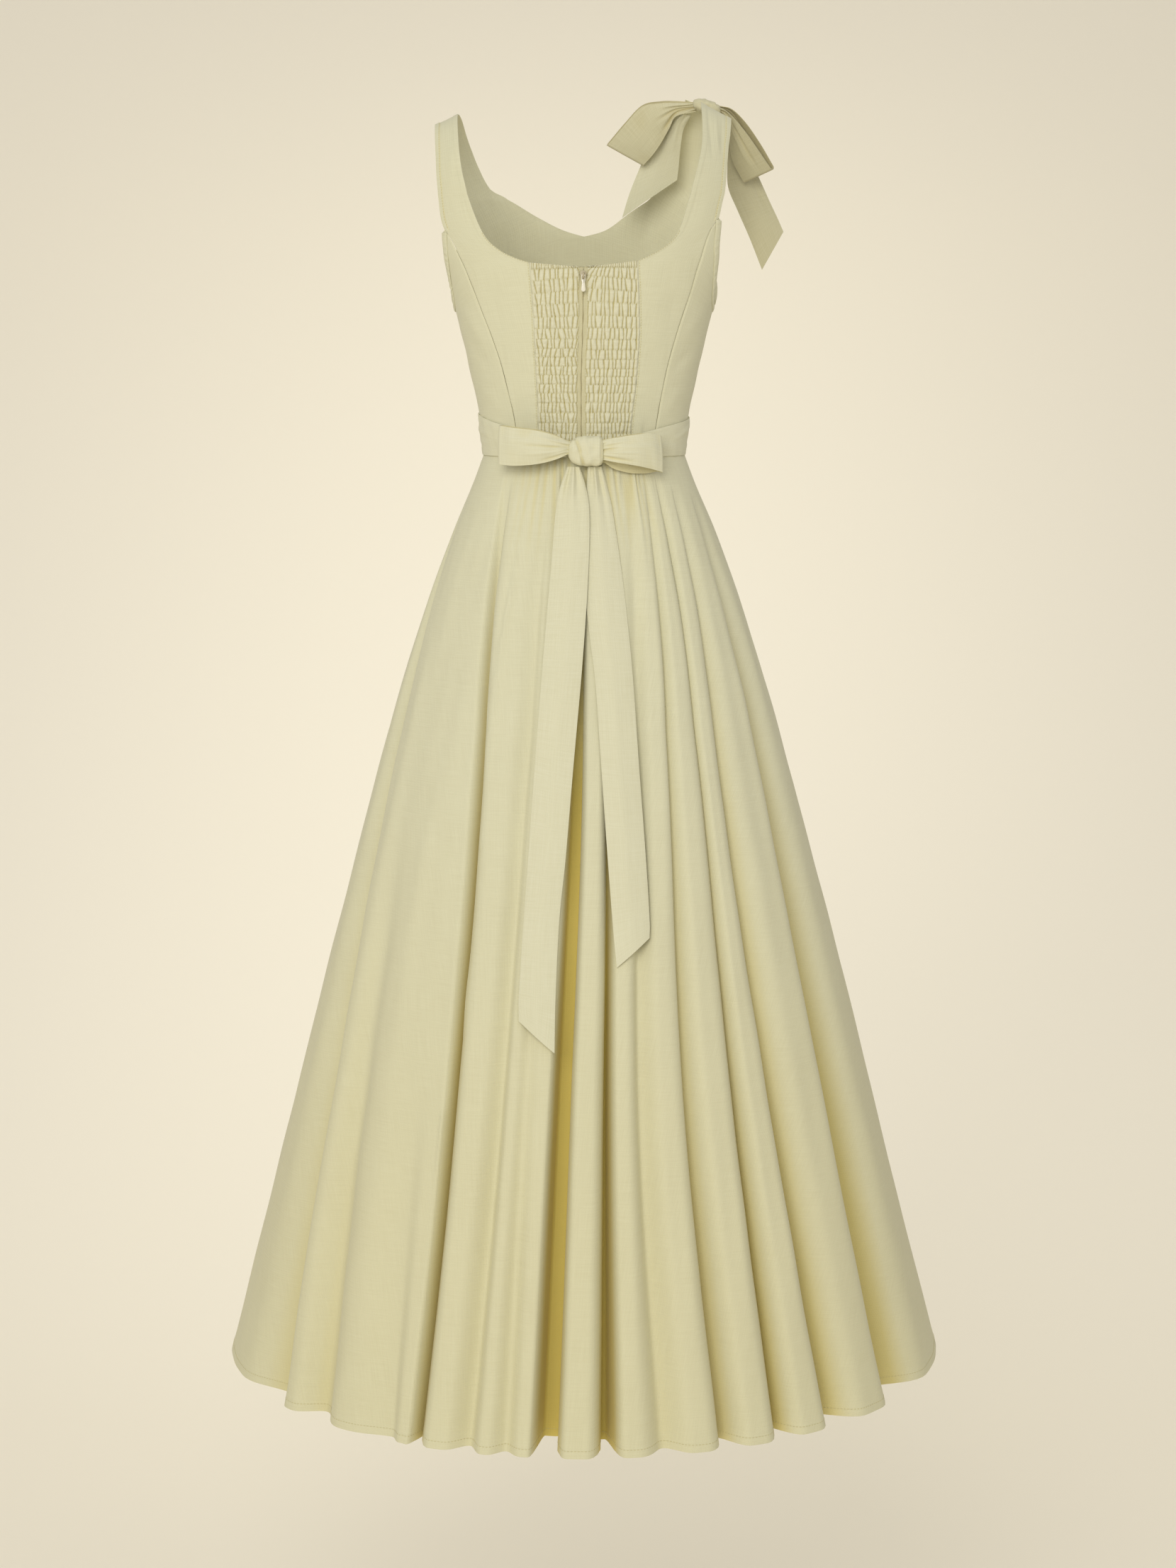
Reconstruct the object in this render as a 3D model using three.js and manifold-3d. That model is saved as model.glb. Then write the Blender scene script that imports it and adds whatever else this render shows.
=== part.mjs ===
// A linen maxi dress on an unseen wearer: a smocked back with a zip, a gathered A-line skirt, a sash
// tied in a bow behind the waist, and a strap tied in a bow on the wearer's right shoulder.
// Millimetres, +Z up. The wearer faces +Y, so the zip is on the -Y side, and +X is their right.
// The origin is between the tops of the two straps, where the shoulders hold the dress.
import * as THREE from "three";
import { mergeVertices } from "three/addons/utils/BufferGeometryUtils.js";
import Module from "manifold-3d";

// ---- Driving dimensions ----
const CLOTH = 1.6; // thickness of a cloth wall
const RIBBON = 1.4; // thickness of a bow's loop or tail
const SHOULDER_SEAM = -0.3; // level where a strap ends, short of the seam on top of the shoulder
const SEAM_TURN = 0.0018; // half the gap at a seam, as a turn in radians about the body
const ROUNDNESS = 2.2; // exponent of a body ring: 2 is an ellipse, more is squarer
const SHOULDER_BASE = -100; // height where the straps start to bend over the shoulders
const STRAP_INNER = 141; // x of a strap's inner edge on top of the shoulder
const STRAP_TOP = -8; // height of that edge
const SHOULDER_FALL = 0.46; // drop of the shoulder for each millimetre further out
const WAIST = -390; // height of the waist seam
const HEM = -1450; // height of the hem
const NECK_BACK = -181; // height of the back neckline at the zip
const BODY_RADIUS = 95; // about the body's radius at an armhole
const BINDING_WIDE = 6.5; // width of the binding round the bottom of an armhole
const KNOT_ROOM = 3; // how far below the shoulder's top the tied strap's ends go into the knot
const SIDE = 1000; // an x past the side line, which lands on the side seam
const WAIST_GAP = 0.3; // gap between the bodice and the skirt at the waist seam

const SMOCK_ROWS = 18; // rows of elastic stitching
const SMOCK_PUFFS = 12; // puffs between the zip and the seam
const SMOCK_RAISE = 1.5; // height of a puff
const SMOCK_FLAT = -386; // height below which the panel is flat, under the sash
const SMOCK_FADE = 14; // distance over which the puffs reach their height above that
const GROOVE = 1.3; // half the width of the groove over the zip

const LINEN = new THREE.MeshStandardMaterial({ color: "#d8d1a9", roughness: 0.9 });
const SMOCKED = new THREE.MeshStandardMaterial({ color: "#d3cba2", roughness: 0.92 });
const RIBBONED = new THREE.MeshStandardMaterial({ color: "#ddd5b0", roughness: 0.88 });
const COIL = new THREE.MeshStandardMaterial({ color: "#bfb184", roughness: 0.6 });
const ENAMEL = new THREE.MeshStandardMaterial({ color: "#efe9d4", roughness: 0.35, metalness: 0.2 });

// ---- Tables ----
// Rings of the body: height, half the width, depth behind and in front of the side line.
const BODY = [
  { z: -390, half: 115, back: 84, front: 87 },
  { z: -342, half: 120.5, back: 83, front: 92 },
  { z: -300, half: 129.5, back: 86, front: 103 },
  { z: -261, half: 138.5, back: 90, front: 117 },
  { z: -223, half: 148, back: 94, front: 123 },
  { z: -190, half: 160, back: 97, front: 120 },
  { z: -165, half: 170, back: 97, front: 113 },
  { z: -133, half: 178, back: 95, front: 104 },
  { z: SHOULDER_BASE, half: 182, back: 92, front: 96 },
];

// Rings of the skirt's folds at their fullest.
const SKIRT = [
  { z: -390, half: 115, back: 84, front: 87 },
  { z: -423, half: 127.4, back: 96, front: 97 },
  { z: -480, half: 151.5, back: 114, front: 116 },
  { z: -562, half: 181.6, back: 141, front: 142 },
  { z: -686, half: 220.6, back: 180, front: 178 },
  { z: -853, half: 266.7, back: 230, front: 226 },
  { z: -1110, half: 333.6, back: 301, front: 293 },
  { z: HEM, half: 420, back: 385, front: 372 },
];

// Valleys between the skirt's folds. Top and hem are degrees from the middle of the panel, start is
// the share of the drop where the valley opens, depth is how far it sinks in at the hem.
const BACK_VALLEYS = [
  { top: -84, hem: -57, start: 0.05, depth: 42 },
  { top: -68, hem: -46, start: 0.3, depth: 30 },
  { top: -55, hem: -32, start: 0.6, depth: 16 },
  { top: -45, hem: -25, start: 0.02, depth: 62 },
  { top: -17, hem: -16.5, start: 0.02, depth: 20 },
  { top: -9, hem: -12, start: 0.3, depth: 14 },
  { top: -1, hem: -5.9, start: 0.04, depth: 66 },
  { top: 8, hem: 3.1, start: 0.2, depth: 52 },
  { top: 24, hem: 12.4, start: 0.02, depth: 30 },
  { top: 34, hem: 21.3, start: 0.02, depth: 34 },
  { top: 43, hem: 30, start: 0.02, depth: 50 },
  { top: 56, hem: 41, start: 0.03, depth: 38 },
  { top: 75, hem: 57, start: 0.04, depth: 44 },
];
const FRONT_VALLEYS = [
  { top: -72, hem: -62, start: 0.06, depth: 40 },
  { top: -52, hem: -43, start: 0.3, depth: 28 },
  { top: -38, hem: -28, start: 0.03, depth: 52 },
  { top: -20, hem: -13, start: 0.1, depth: 34 },
  { top: -3, hem: 1, start: 0.04, depth: 48 },
  { top: 16, hem: 14, start: 0.25, depth: 26 },
  { top: 33, hem: 27, start: 0.03, depth: 54 },
  { top: 53, hem: 45, start: 0.15, depth: 36 },
  { top: 73, hem: 64, start: 0.06, depth: 44 },
];
const SKIRT_DROPS = [0, 14, 45, 100, 190, 320, 500, 750, 1060]; // rows of the skirt, below the waist
const FOLD_STEPS = 3; // columns from a fold's ridge to its valley
const GATHER_RAISE = 1.3; // height of the small gathers under the waist seam
const GATHER_DROP = 60; // how far down the small gathers run
const GATHER_REACH = 40; // degrees from centre back where they end
const OVAL_DROP = 300; // how far below the waist the skirt's rings are plain ellipses
const FOLD_OPENING = 0.8; // exponent of a valley's depth down the skirt: 1 is a straight slope

// Panels of the bodice, from the waist up: one row for each line across, with its edge towards the
// middle of the dress (in) and its edge towards the side (out). Height 0 is the top of the shoulder.
const BACK_LEFT = [
  { inX: -51, inZ: -389.8, outX: -72, outZ: -389.8 },
  { inX: -52, inZ: -352, outX: -78.5, outZ: -352 },
  { inX: -53, inZ: -318, outX: -86, outZ: -318 },
  { inX: -54.5, inZ: -287, outX: -94, outZ: -287 },
  { inX: -56, inZ: -256, outX: -104, outZ: -258 },
  { inX: -58, inZ: -217, outX: -118, outZ: -222 },
  { inX: -61, inZ: -176, outX: -131.5, outZ: -187 },
  { inX: -76, inZ: -171, outX: -138.5, outZ: -172 },
  { inX: -91, inZ: -164, outX: -145, outZ: -158 },
  { inX: -105, inZ: -153, outX: -151.5, outZ: -146.5 },
  { inX: -114, inZ: -140, outX: -156, outZ: -139 },
  { inX: -122, inZ: -122, outX: -160, outZ: -127 },
  { inX: -130, inZ: -99, outX: -163.5, outZ: -100 },
  { inX: -136, inZ: -73, outX: -165.3, outZ: -75 },
  { inX: -139.5, inZ: -47, outX: -166.5, outZ: -52 },
  { inX: -141.5, inZ: -24, outX: -167.5, outZ: -33 },
  { inX: -142.5, inZ: 0, outX: -168.5, outZ: 0 },
];
const BACK_RIGHT = [
  { inX: 51.5, inZ: -389.8, outX: 76, outZ: -389.8 },
  { inX: 54, inZ: -352, outX: 82.5, outZ: -352 },
  { inX: 58, inZ: -318, outX: 88.5, outZ: -318 },
  { inX: 60.5, inZ: -290, outX: 94.5, outZ: -290 },
  { inX: 62.5, inZ: -256, outX: 104, outZ: -256 },
  { inX: 62, inZ: -215, outX: 117, outZ: -216 },
  { inX: 60, inZ: -174, outX: 130, outZ: -174 },
  { inX: 75, inZ: -167, outX: 136, outZ: -154 },
  { inX: 89, inZ: -159, outX: 142, outZ: -139 },
  { inX: 100, inZ: -149, outX: 147.5, outZ: -131 },
  { inX: 107, inZ: -137, outX: 151, outZ: -126 },
  { inX: 113, inZ: -120, outX: 155, outZ: -108 },
  { inX: 119, inZ: -99, outX: 158, outZ: -91 },
  { inX: 125.5, inZ: -74, outX: 160, outZ: -70 },
  { inX: 131, inZ: -48, outX: 161.8, outZ: -48 },
  { inX: 133, inZ: -26, outX: 164, outZ: -34 },
  { inX: 133.5, inZ: -7, outX: 165, outZ: -21 },
];
// The armhole side of each side back panel; its other edge is the back panel's princess seam.
const SIDE_LEFT = [
  { outX: -SIDE, outZ: -389.8 },
  { outX: -SIDE, outZ: -352 },
  { outX: -SIDE, outZ: -318 },
  { outX: -SIDE, outZ: -287 },
  { outX: -SIDE, outZ: -258 },
  { outX: -SIDE, outZ: -238 },
  { outX: -SIDE, outZ: -223 },
  { outX: -149, outZ: -213 },
  { outX: -153.5, outZ: -190 },
  { outX: -157.5, outZ: -165 },
  { outX: -159, outZ: -142 },
];
const SIDE_RIGHT = [
  { outX: SIDE, outZ: -389.8 },
  { outX: SIDE, outZ: -352 },
  { outX: SIDE, outZ: -318 },
  { outX: SIDE, outZ: -287 },
  { outX: SIDE, outZ: -258 },
  { outX: SIDE, outZ: -238 },
  { outX: SIDE, outZ: -223 },
  { outX: 147.5, outZ: -213 },
  { outX: 149.5, outZ: -189 },
  { outX: 151.5, outZ: -158 },
  { outX: 153.4, outZ: -129 },
];
// One half of the front bodice. The rows up to FRONT_SPLIT meet at centre front, and from there the
// neckline parts the two halves. The knot pulls the right strap's inner edge in by the last column.
const FRONT_SPLIT = 7;
const FRONT = [
  { inX: 0, inZ: -389.8, outX: SIDE, outZ: -389.8 },
  { inX: 0, inZ: -352, outX: SIDE, outZ: -352 },
  { inX: 0, inZ: -318, outX: SIDE, outZ: -318 },
  { inX: 0, inZ: -287, outX: SIDE, outZ: -287 },
  { inX: 0, inZ: -256, outX: SIDE, outZ: -258 },
  { inX: 0, inZ: -215, outX: SIDE, outZ: -238 },
  { inX: 0, inZ: -178, outX: SIDE, outZ: -223 },
  { inX: 0, inZ: -141, outX: 149.5, outZ: -212 },
  { inX: 27, inZ: -133, outX: 149.5, outZ: -194 },
  { inX: 55, inZ: -119, outX: 148, outZ: -170 },
  { inX: 86, inZ: -101, outX: 147, outZ: -145 },
  { inX: 105, inZ: -91, outX: 148, outZ: -121 },
  { inX: 112, inZ: -84, outX: 151, outZ: -101, pull: 1 },
  { inX: 119, inZ: -71, outX: 155, outZ: -80, pull: 4 },
  { inX: 128, inZ: -50, outX: 160.5, outZ: -56, pull: 9 },
  { inX: 136, inZ: -26, outX: 165, outZ: -34, pull: 14 },
  { inX: 142.5, inZ: 0, outX: 168.5, outZ: 0, pull: 17 },
];
// The zip's line, which wanders a little.
const ZIP_LINE = [
  { z: -390, x: -3 },
  { z: -300, x: -3 },
  { z: -250, x: -1.5 },
  { z: NECK_BACK, x: -0.5 },
];

// The sash: degrees round the waist from centre back, its edges, and how far it stands off the body.
const SASH = [
  { turn: 8, top: -373, bottom: -390, off: 2.6 },
  { turn: 31, top: -364, bottom: -390, off: 2.4 },
  { turn: 52, top: -356.5, bottom: -389.5, off: 1.2 },
  { turn: 88, top: -349, bottom: -389, off: 0.9 },
  { turn: 130, top: -344, bottom: -389, off: 0.9 },
  { turn: 180, top: -342, bottom: -389, off: 0.9 },
  { turn: 230, top: -343, bottom: -389, off: 0.9 },
  { turn: 272, top: -344, bottom: -389, off: 0.9 },
  { turn: 305, top: -353.5, bottom: -389.5, off: 1.2 },
  { turn: 330, top: -363, bottom: -390, off: 2.4 },
  { turn: 352, top: -373, bottom: -390, off: 2.6 },
];

// Loops of the two bows, from the knot to the fold at their end. A and B are the ribbon's two edges,
// and gap is the space between its two layers.
const WAIST_LOOP_LEFT = [
  { ax: -19, ay: -102, az: -372, bx: -19, by: -102, bz: -387, gap: 9 },
  { ax: -32, ay: -102, az: -366, bx: -32, by: -102, bz: -393, gap: 14 },
  { ax: -52, ay: -99, az: -360.5, bx: -52, by: -99, bz: -398, gap: 19 },
  { ax: -75, ay: -91, az: -358, bx: -75, by: -91, bz: -400, gap: 18 },
  { ax: -90, ay: -85, az: -356, bx: -91, by: -85, bz: -399, gap: 13 },
];
const WAIST_LOOP_RIGHT = [
  { ax: 23.2, ay: -102, az: -371, bx: 23.2, by: -102, bz: -396, gap: 9 },
  { ax: 35, ay: -102, az: -368.5, bx: 34, by: -102, bz: -400, gap: 13 },
  { ax: 50, ay: -99, az: -366, bx: 52, by: -99, bz: -403, gap: 17 },
  { ax: 68, ay: -93, az: -364, bx: 70, by: -93, bz: -405, gap: 17 },
  { ax: 82, ay: -87, az: -366, bx: 84, by: -87, bz: -407, gap: 12 },
];
const SHOULDER_LOOP_IN = [
  { ax: 120.5, ay: 9, az: 5, bx: 120.5, by: 12, bz: -5, gap: 4 },
  { ax: 104, ay: 13, az: 6, bx: 105, by: 18, bz: -9, gap: 8 },
  { ax: 86, ay: 17, az: 6, bx: 98, by: 23, bz: -21, gap: 11 },
  { ax: 66, ay: 20, az: 2, bx: 89, by: 28, bz: -36, gap: 12 },
  { ax: 47, ay: 24, az: -17, bx: 79, by: 32, bz: -50, gap: 11 },
  { ax: 28, ay: 28, az: -39, bx: 69, by: 36, bz: -61, gap: 8 },
];
const SHOULDER_LOOP_OUT = [
  { ax: 156.2, ay: 0, az: -1, bx: 155.8, by: 9, bz: -6, gap: 4 },
  { ax: 167, ay: -1, az: -6, bx: 163, by: 15, bz: -13, gap: 7 },
  { ax: 181, ay: -1, az: -21, bx: 168, by: 20, bz: -34, gap: 10 },
  { ax: 198, ay: 0, az: -44, bx: 172, by: 23, bz: -57, gap: 11 },
  { ax: 213, ay: 2, az: -67, bx: 183, by: 26, bz: -80, gap: 8 },
];
// Tails that lie on the skirt: their two edges and how far they stand off it.
const WAIST_TAIL_LEFT = [
  { ax: -19, az: -401, bx: -5, bz: -401, off: 12 },
  { ax: -27, az: -425, bx: 2, bz: -423, off: 9 },
  { ax: -32, az: -455, bx: 6, bz: -452, off: 8 },
  { ax: -37, az: -515, bx: 5, bz: -513, off: 7 },
  { ax: -45, az: -607, bx: -1, bz: -607, off: 7 },
  { ax: -54, az: -722, bx: -12, bz: -730, off: 7 },
  { ax: -61, az: -820, bx: -20, bz: -822, off: 6 },
  { ax: -66, az: -890, bx: -27, bz: -890, off: 5 },
  { ax: -71, az: -968, bx: -31, bz: -972, off: 5 },
  { ax: -71, az: -996, bx: -32, bz: -1028, off: 5 },
];
const WAIST_TAIL_RIGHT = [
  { ax: 4, az: -401, bx: 20, bz: -401, off: 8 },
  { ax: 3, az: -421, bx: 26, bz: -423, off: 4 },
  { ax: 1, az: -450, bx: 32, bz: -450, off: 3 },
  { ax: 0, az: -520, bx: 43, bz: -524, off: 2.5 },
  { ax: 6, az: -583, bx: 50, bz: -586, off: 2.5 },
  { ax: 13, az: -640, bx: 55, bz: -641, off: 2.5 },
  { ax: 19, az: -725, bx: 61, bz: -728, off: 2.5 },
  { ax: 26, az: -822, bx: 68, bz: -822, off: 2.5 },
  { ax: 32, az: -898, bx: 72, bz: -888, off: 2.5 },
  { ax: 36, az: -939, bx: 72, bz: -909, off: 2.5 },
];
// Tails that hang free from the shoulder knot.
const SHOULDER_TAIL_IN = [
  { ax: 116, ay: 19, az: -9, bx: 121.5, by: 18, bz: -9 },
  { ax: 99, ay: 32, az: -24, bx: 114, by: 29, bz: -22 },
  { ax: 78, ay: 42, az: -47, bx: 111, by: 35, bz: -38 },
  { ax: 62, ay: 48, az: -70, bx: 109.5, by: 40, bz: -53 },
  { ax: 52, ay: 51, az: -95, bx: 108.5, by: 44, bz: -66 },
  { ax: 44, ay: 54, az: -121, bx: 107, by: 47, bz: -79 },
];
const SHOULDER_TAIL_OUT = [
  { ax: 157, ay: 21, az: -8, bx: 162, by: 19, bz: -6 },
  { ax: 162, ay: 34, az: -28, bx: 174, by: 27, bz: -20 },
  { ax: 164, ay: 41, az: -57, bx: 187, by: 31, bz: -48 },
  { ax: 165, ay: 42, az: -87, bx: 202, by: 31, bz: -79 },
  { ax: 176, ay: 39, az: -114, bx: 213, by: 30, bz: -103 },
  { ax: 190, ay: 37, az: -145, bx: 222, by: 29, bz: -122 },
  { ax: 204.6, ay: 35, az: -181, bx: 229, by: 28, bz: -138 },
];

// ---- Numbers ----
const radians = THREE.MathUtils.degToRad;
const lerp = THREE.MathUtils.lerp;
const steps = (count) => Array.from({ length: count + 1 }, (_, index) => index / count);

// A smooth curve through one column of a table, by another column, held level past its ends.
function curve(rows, along, column) {
  const knots = rows.map((row) => [row[along], row[column]]).sort((a, b) => a[0] - b[0]);
  const last = knots.length - 1;
  const slopes = knots.map((_, index) => {
    const before = knots[Math.max(0, index - 1)];
    const after = knots[Math.min(last, index + 1)];
    return (after[1] - before[1]) / (after[0] - before[0]);
  });
  return (at) => {
    const held = Math.min(knots[last][0], Math.max(knots[0][0], at));
    const next = Math.min(last, Math.max(1, knots.findIndex((knot) => knot[0] >= held)));
    const span = knots[next][0] - knots[next - 1][0];
    const share = (held - knots[next - 1][0]) / span;
    const rest = 1 - share;
    return (
      knots[next - 1][1] * (1 + 2 * share) * rest * rest +
      knots[next][1] * (1 + 2 * rest) * share * share +
      slopes[next - 1] * span * share * rest * rest -
      slopes[next] * span * rest * share * share
    );
  };
}

// The value of a column at a row number that may lie between two rows.
function between(rows, at, column) {
  const low = Math.min(rows.length - 2, Math.floor(at));
  return lerp(rows[low][column], rows[low + 1][column], at - low);
}

// ---- The body's surface ----
const bodyHalf = curve(BODY, "z", "half");
const bodyBack = curve(BODY, "z", "back");
const bodyFront = curve(BODY, "z", "front");
const shoulderTop = (x) => STRAP_TOP - SHOULDER_FALL * (Math.abs(x) - STRAP_INNER);

// A point of the body. The turn is 0 behind and a quarter turn at the wearer's right side. The level
// is the height up to SHOULDER_BASE, and above it a quarter circle over the shoulder that ends at 0.
function bodyPoint(turn, level) {
  const arch = (Math.max(0, level - SHOULDER_BASE) / -SHOULDER_BASE) * (Math.PI / 2);
  const z = Math.min(level, SHOULDER_BASE);
  const across = Math.sin(turn);
  const behind = Math.cos(turn);
  const x = bodyHalf(z) * Math.sign(across) * Math.abs(across) ** (2 / ROUNDNESS);
  const depth = behind > 0 ? bodyBack(z) : bodyFront(z);
  const y = -Math.sign(behind) * depth * Math.abs(behind) ** (2 / ROUNDNESS) * Math.cos(arch);
  return new THREE.Vector3(x, y, z + (shoulderTop(x) - SHOULDER_BASE) * Math.sin(arch));
}

function bodyNormal(turn, level) {
  const turnStep = 0.002;
  const levelStep = 0.5;
  const across = bodyPoint(turn + turnStep, level).sub(bodyPoint(turn - turnStep, level));
  const up = bodyPoint(turn, level + levelStep).sub(bodyPoint(turn, level - levelStep));
  return across.cross(up).normalize();
}

// The turn and level of the body's point at an x and a height, behind the side line. A hand of 1 or -1
// gives the point in front of it instead, with turns that go on from that side of the back.
function bodyPlace(x, z, hand = 0) {
  const reach = Math.min(1, Math.abs(x) / bodyHalf(z));
  const turn = Math.sign(x) * Math.asin(reach ** (ROUNDNESS / 2));
  const rise = Math.min(1, Math.max(0, (z - SHOULDER_BASE) / (shoulderTop(x) - SHOULDER_BASE)));
  const arch = Math.asin(rise) / (Math.PI / 2);
  return {
    turn: hand ? hand * Math.PI - turn : turn,
    level: z <= SHOULDER_BASE ? z : Math.min(SHOULDER_SEAM, SHOULDER_BASE * (1 - arch)),
  };
}

// A point at a distance off the body.
const offBody = (turn, level, off) =>
  bodyPoint(turn, level).addScaledVector(bodyNormal(turn, level), off);

// ---- Cloth walls ----
// A closed wall of triangles between an outer and an inner grid of points, which may differ in
// fineness. Each grid is a list of rows from one edge of the cloth to the other.
class Wall {
  constructor() {
    this.corners = [];
  }

  skin(grid, facesIn) {
    for (let row = 0; row + 1 < grid.length; row++) {
      for (let column = 0; column + 1 < grid[row].length; column++) {
        const a = grid[row][column];
        const b = grid[row][column + 1];
        const c = grid[row + 1][column + 1];
        const d = grid[row + 1][column];
        if (facesIn) this.corners.push(a, c, b, a, d, c);
        else this.corners.push(a, b, c, a, c, d);
      }
    }
    return this;
  }

  // The strip that joins an edge of the outer grid to the same edge of the inner one.
  rim(outer, inner) {
    let out = 0;
    let within = 0;
    while (out + 1 < outer.length || within + 1 < inner.length) {
      const outNext = (out + 1) / (outer.length - 1);
      const withinNext = (within + 1) / (inner.length - 1);
      if (outNext <= withinNext) {
        this.corners.push(outer[out + 1], outer[out], inner[within]);
        out++;
      } else {
        this.corners.push(inner[within], inner[within + 1], outer[out]);
        within++;
      }
    }
    return this;
  }

  mesh(name, material) {
    let volume = 0;
    for (let i = 0; i < this.corners.length; i += 3) {
      const [a, b, c] = this.corners.slice(i, i + 3);
      volume += a.dot(b.clone().cross(c));
    }
    if (volume < 0) this.corners.reverse();
    const mesh = new THREE.Mesh(new THREE.BufferGeometry().setFromPoints(this.corners), material);
    mesh.geometry.computeVertexNormals();
    mesh.name = name;
    return mesh;
  }
}

const column = (grid, index) => grid.map((row) => row.at(index));
const reversed = (line) => [...line].reverse();

function sheet(name, material, outer, inner) {
  return new Wall()
    .skin(outer, false)
    .skin(inner, true)
    .rim(outer[0], inner[0])
    .rim(column(outer, -1), column(inner, -1))
    .rim(reversed(outer.at(-1)), reversed(inner.at(-1)))
    .rim(reversed(column(outer, 0)), reversed(column(inner, 0)))
    .mesh(name, material);
}

// The outer and inner points of a cloth whose middle surface is a grid of points.
function thicken(grid, thickness) {
  const shifted = (distance) =>
    grid.map((row, r) =>
      row.map((point, c) => {
        const down = grid[Math.min(grid.length - 1, r + 1)][c].clone().sub(grid[Math.max(0, r - 1)][c]);
        const along = row[Math.min(row.length - 1, c + 1)].clone().sub(row[Math.max(0, c - 1)]);
        return point.clone().addScaledVector(along.cross(down).normalize(), distance);
      }),
    );
  return [shifted(thickness / 2), shifted(-thickness / 2)];
}

// ---- Bodice ----
// Points of a panel between the two edges that its table gives, at a distance off the body. The
// panel stops short of its neighbours by half a seam's gap, except along an edge without a seam.
function panelGrid(rows, off, { columns, front = false, seamIn = 1 }) {
  const edges = rows.map((row) => {
    const hand = front ? Math.sign(row.outX) : 0;
    const inner = bodyPlace(row.inX, row.inZ, hand);
    const outer = bodyPlace(row.outX, row.outZ, hand);
    const way = Math.sign(outer.turn - inner.turn);
    return {
      inTurn: inner.turn + way * SEAM_TURN * seamIn,
      inLevel: inner.level,
      outTurn: outer.turn - way * SEAM_TURN,
      outLevel: outer.level,
    };
  });
  return edges.map((edge) =>
    steps(columns).map((share) =>
      offBody(lerp(edge.inTurn, edge.outTurn, share), lerp(edge.inLevel, edge.outLevel, share), off),
    ),
  );
}

function panel(name, rows, columns) {
  return sheet(name, LINEN, panelGrid(rows, 0, { columns }), panelGrid(rows, -CLOTH, { columns }));
}

// A side back panel reaches from the princess seam to the side seam and the armhole.
function sideBack(name, backRows, sideRows) {
  const rows = sideRows.map((side, index) => ({
    inX: backRows[index].outX,
    inZ: backRows[index].outZ,
    outX: side.outX,
    outZ: side.outZ,
  }));
  return panel(name, rows, 6);
}

// The front bodice is one piece: two halves that share the points of centre front below the neckline.
function frontBodice(name) {
  const columns = 10;
  const rightRows = FRONT.map((row) => {
    const pull = row.pull ?? 0;
    const [inX, outX] = [row.inX - pull, row.outX - pull / 2];
    const intoKnot = (x, z) => (z === 0 ? shoulderTop(x) - KNOT_ROOM : z);
    return { inX, outX, inZ: intoKnot(inX, row.inZ), outZ: intoKnot(outX, row.outZ) };
  });
  const leftRows = FRONT.map((row) => ({ ...row, inX: -row.inX, outX: -row.outX }));
  const halves = [0, -CLOTH].map((off) => {
    const right = panelGrid(rightRows, off, { columns, front: true, seamIn: 0 });
    const left = panelGrid(leftRows, off, { columns, front: true, seamIn: 0 }).map(reversed);
    for (let row = 0; row <= FRONT_SPLIT; row++) {
      const middle = right[row][0].setX(0);
      left[row][columns] = middle;
    }
    return {
      lower: right.slice(0, FRONT_SPLIT + 1).map((row, r) => [...left[r].slice(0, columns), ...row]),
      right: right.slice(FRONT_SPLIT),
      left: left.slice(FRONT_SPLIT),
    };
  });
  const [outer, inner] = halves;
  const wall = new Wall();
  for (const part of ["lower", "right", "left"]) wall.skin(outer[part], false).skin(inner[part], true);
  wall.rim(outer.lower[0], inner.lower[0]);
  wall.rim(column(outer.lower, -1), column(inner.lower, -1));
  wall.rim(reversed(column(outer.lower, 0)), reversed(column(inner.lower, 0)));
  for (const part of ["right", "left"]) {
    wall.rim(column(outer[part], -1), column(inner[part], -1));
    wall.rim(reversed(outer[part].at(-1)), reversed(inner[part].at(-1)));
    wall.rim(reversed(column(outer[part], 0)), reversed(column(inner[part], 0)));
  }
  return wall.mesh(name, LINEN);
}

// The narrow binding round the bottom of an armhole, from the top of the side back panel to the front.
// It lies on the panels, along their edge and BINDING_WIDE away from the armhole's middle.
function binding(name, sideRows) {
  const hand = Math.sign(sideRows[0].outX);
  const behind = reversed(sideRows.slice(FRONT_SPLIT - 1)).map((row) => bodyPlace(row.outX, row.outZ));
  const before = FRONT.slice(FRONT_SPLIT, FRONT_SPLIT + 4);
  const ahead = before.map((row) => bodyPlace(hand * row.outX, row.outZ, hand));
  const middle = { turn: (hand * Math.PI) / 2, level: -140 };
  const edges = [...behind, ...ahead].map((edge) => {
    const across = (edge.turn - middle.turn) * BODY_RADIUS;
    const up = edge.level - middle.level;
    const wide = BINDING_WIDE / Math.hypot(across, up);
    return {
      ...edge,
      lowTurn: edge.turn + (wide * across) / BODY_RADIUS,
      lowLevel: edge.level + wide * up,
    };
  });
  const gridAt = (off) =>
    steps(3 * (edges.length - 1)).map((share) => {
      const at = (key) => between(edges, share * (edges.length - 1), key);
      return steps(2).map((low) =>
        offBody(lerp(at("turn"), at("lowTurn"), low), lerp(at("level"), at("lowLevel"), low), off),
      );
    });
  const [outside, inside] = [1.8, 0.6];
  return sheet(name, LINEN, gridAt(outside), gridAt(inside));
}

// ---- Smocking and zip ----
const zipX = curve(ZIP_LINE, "z", "x");

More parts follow.
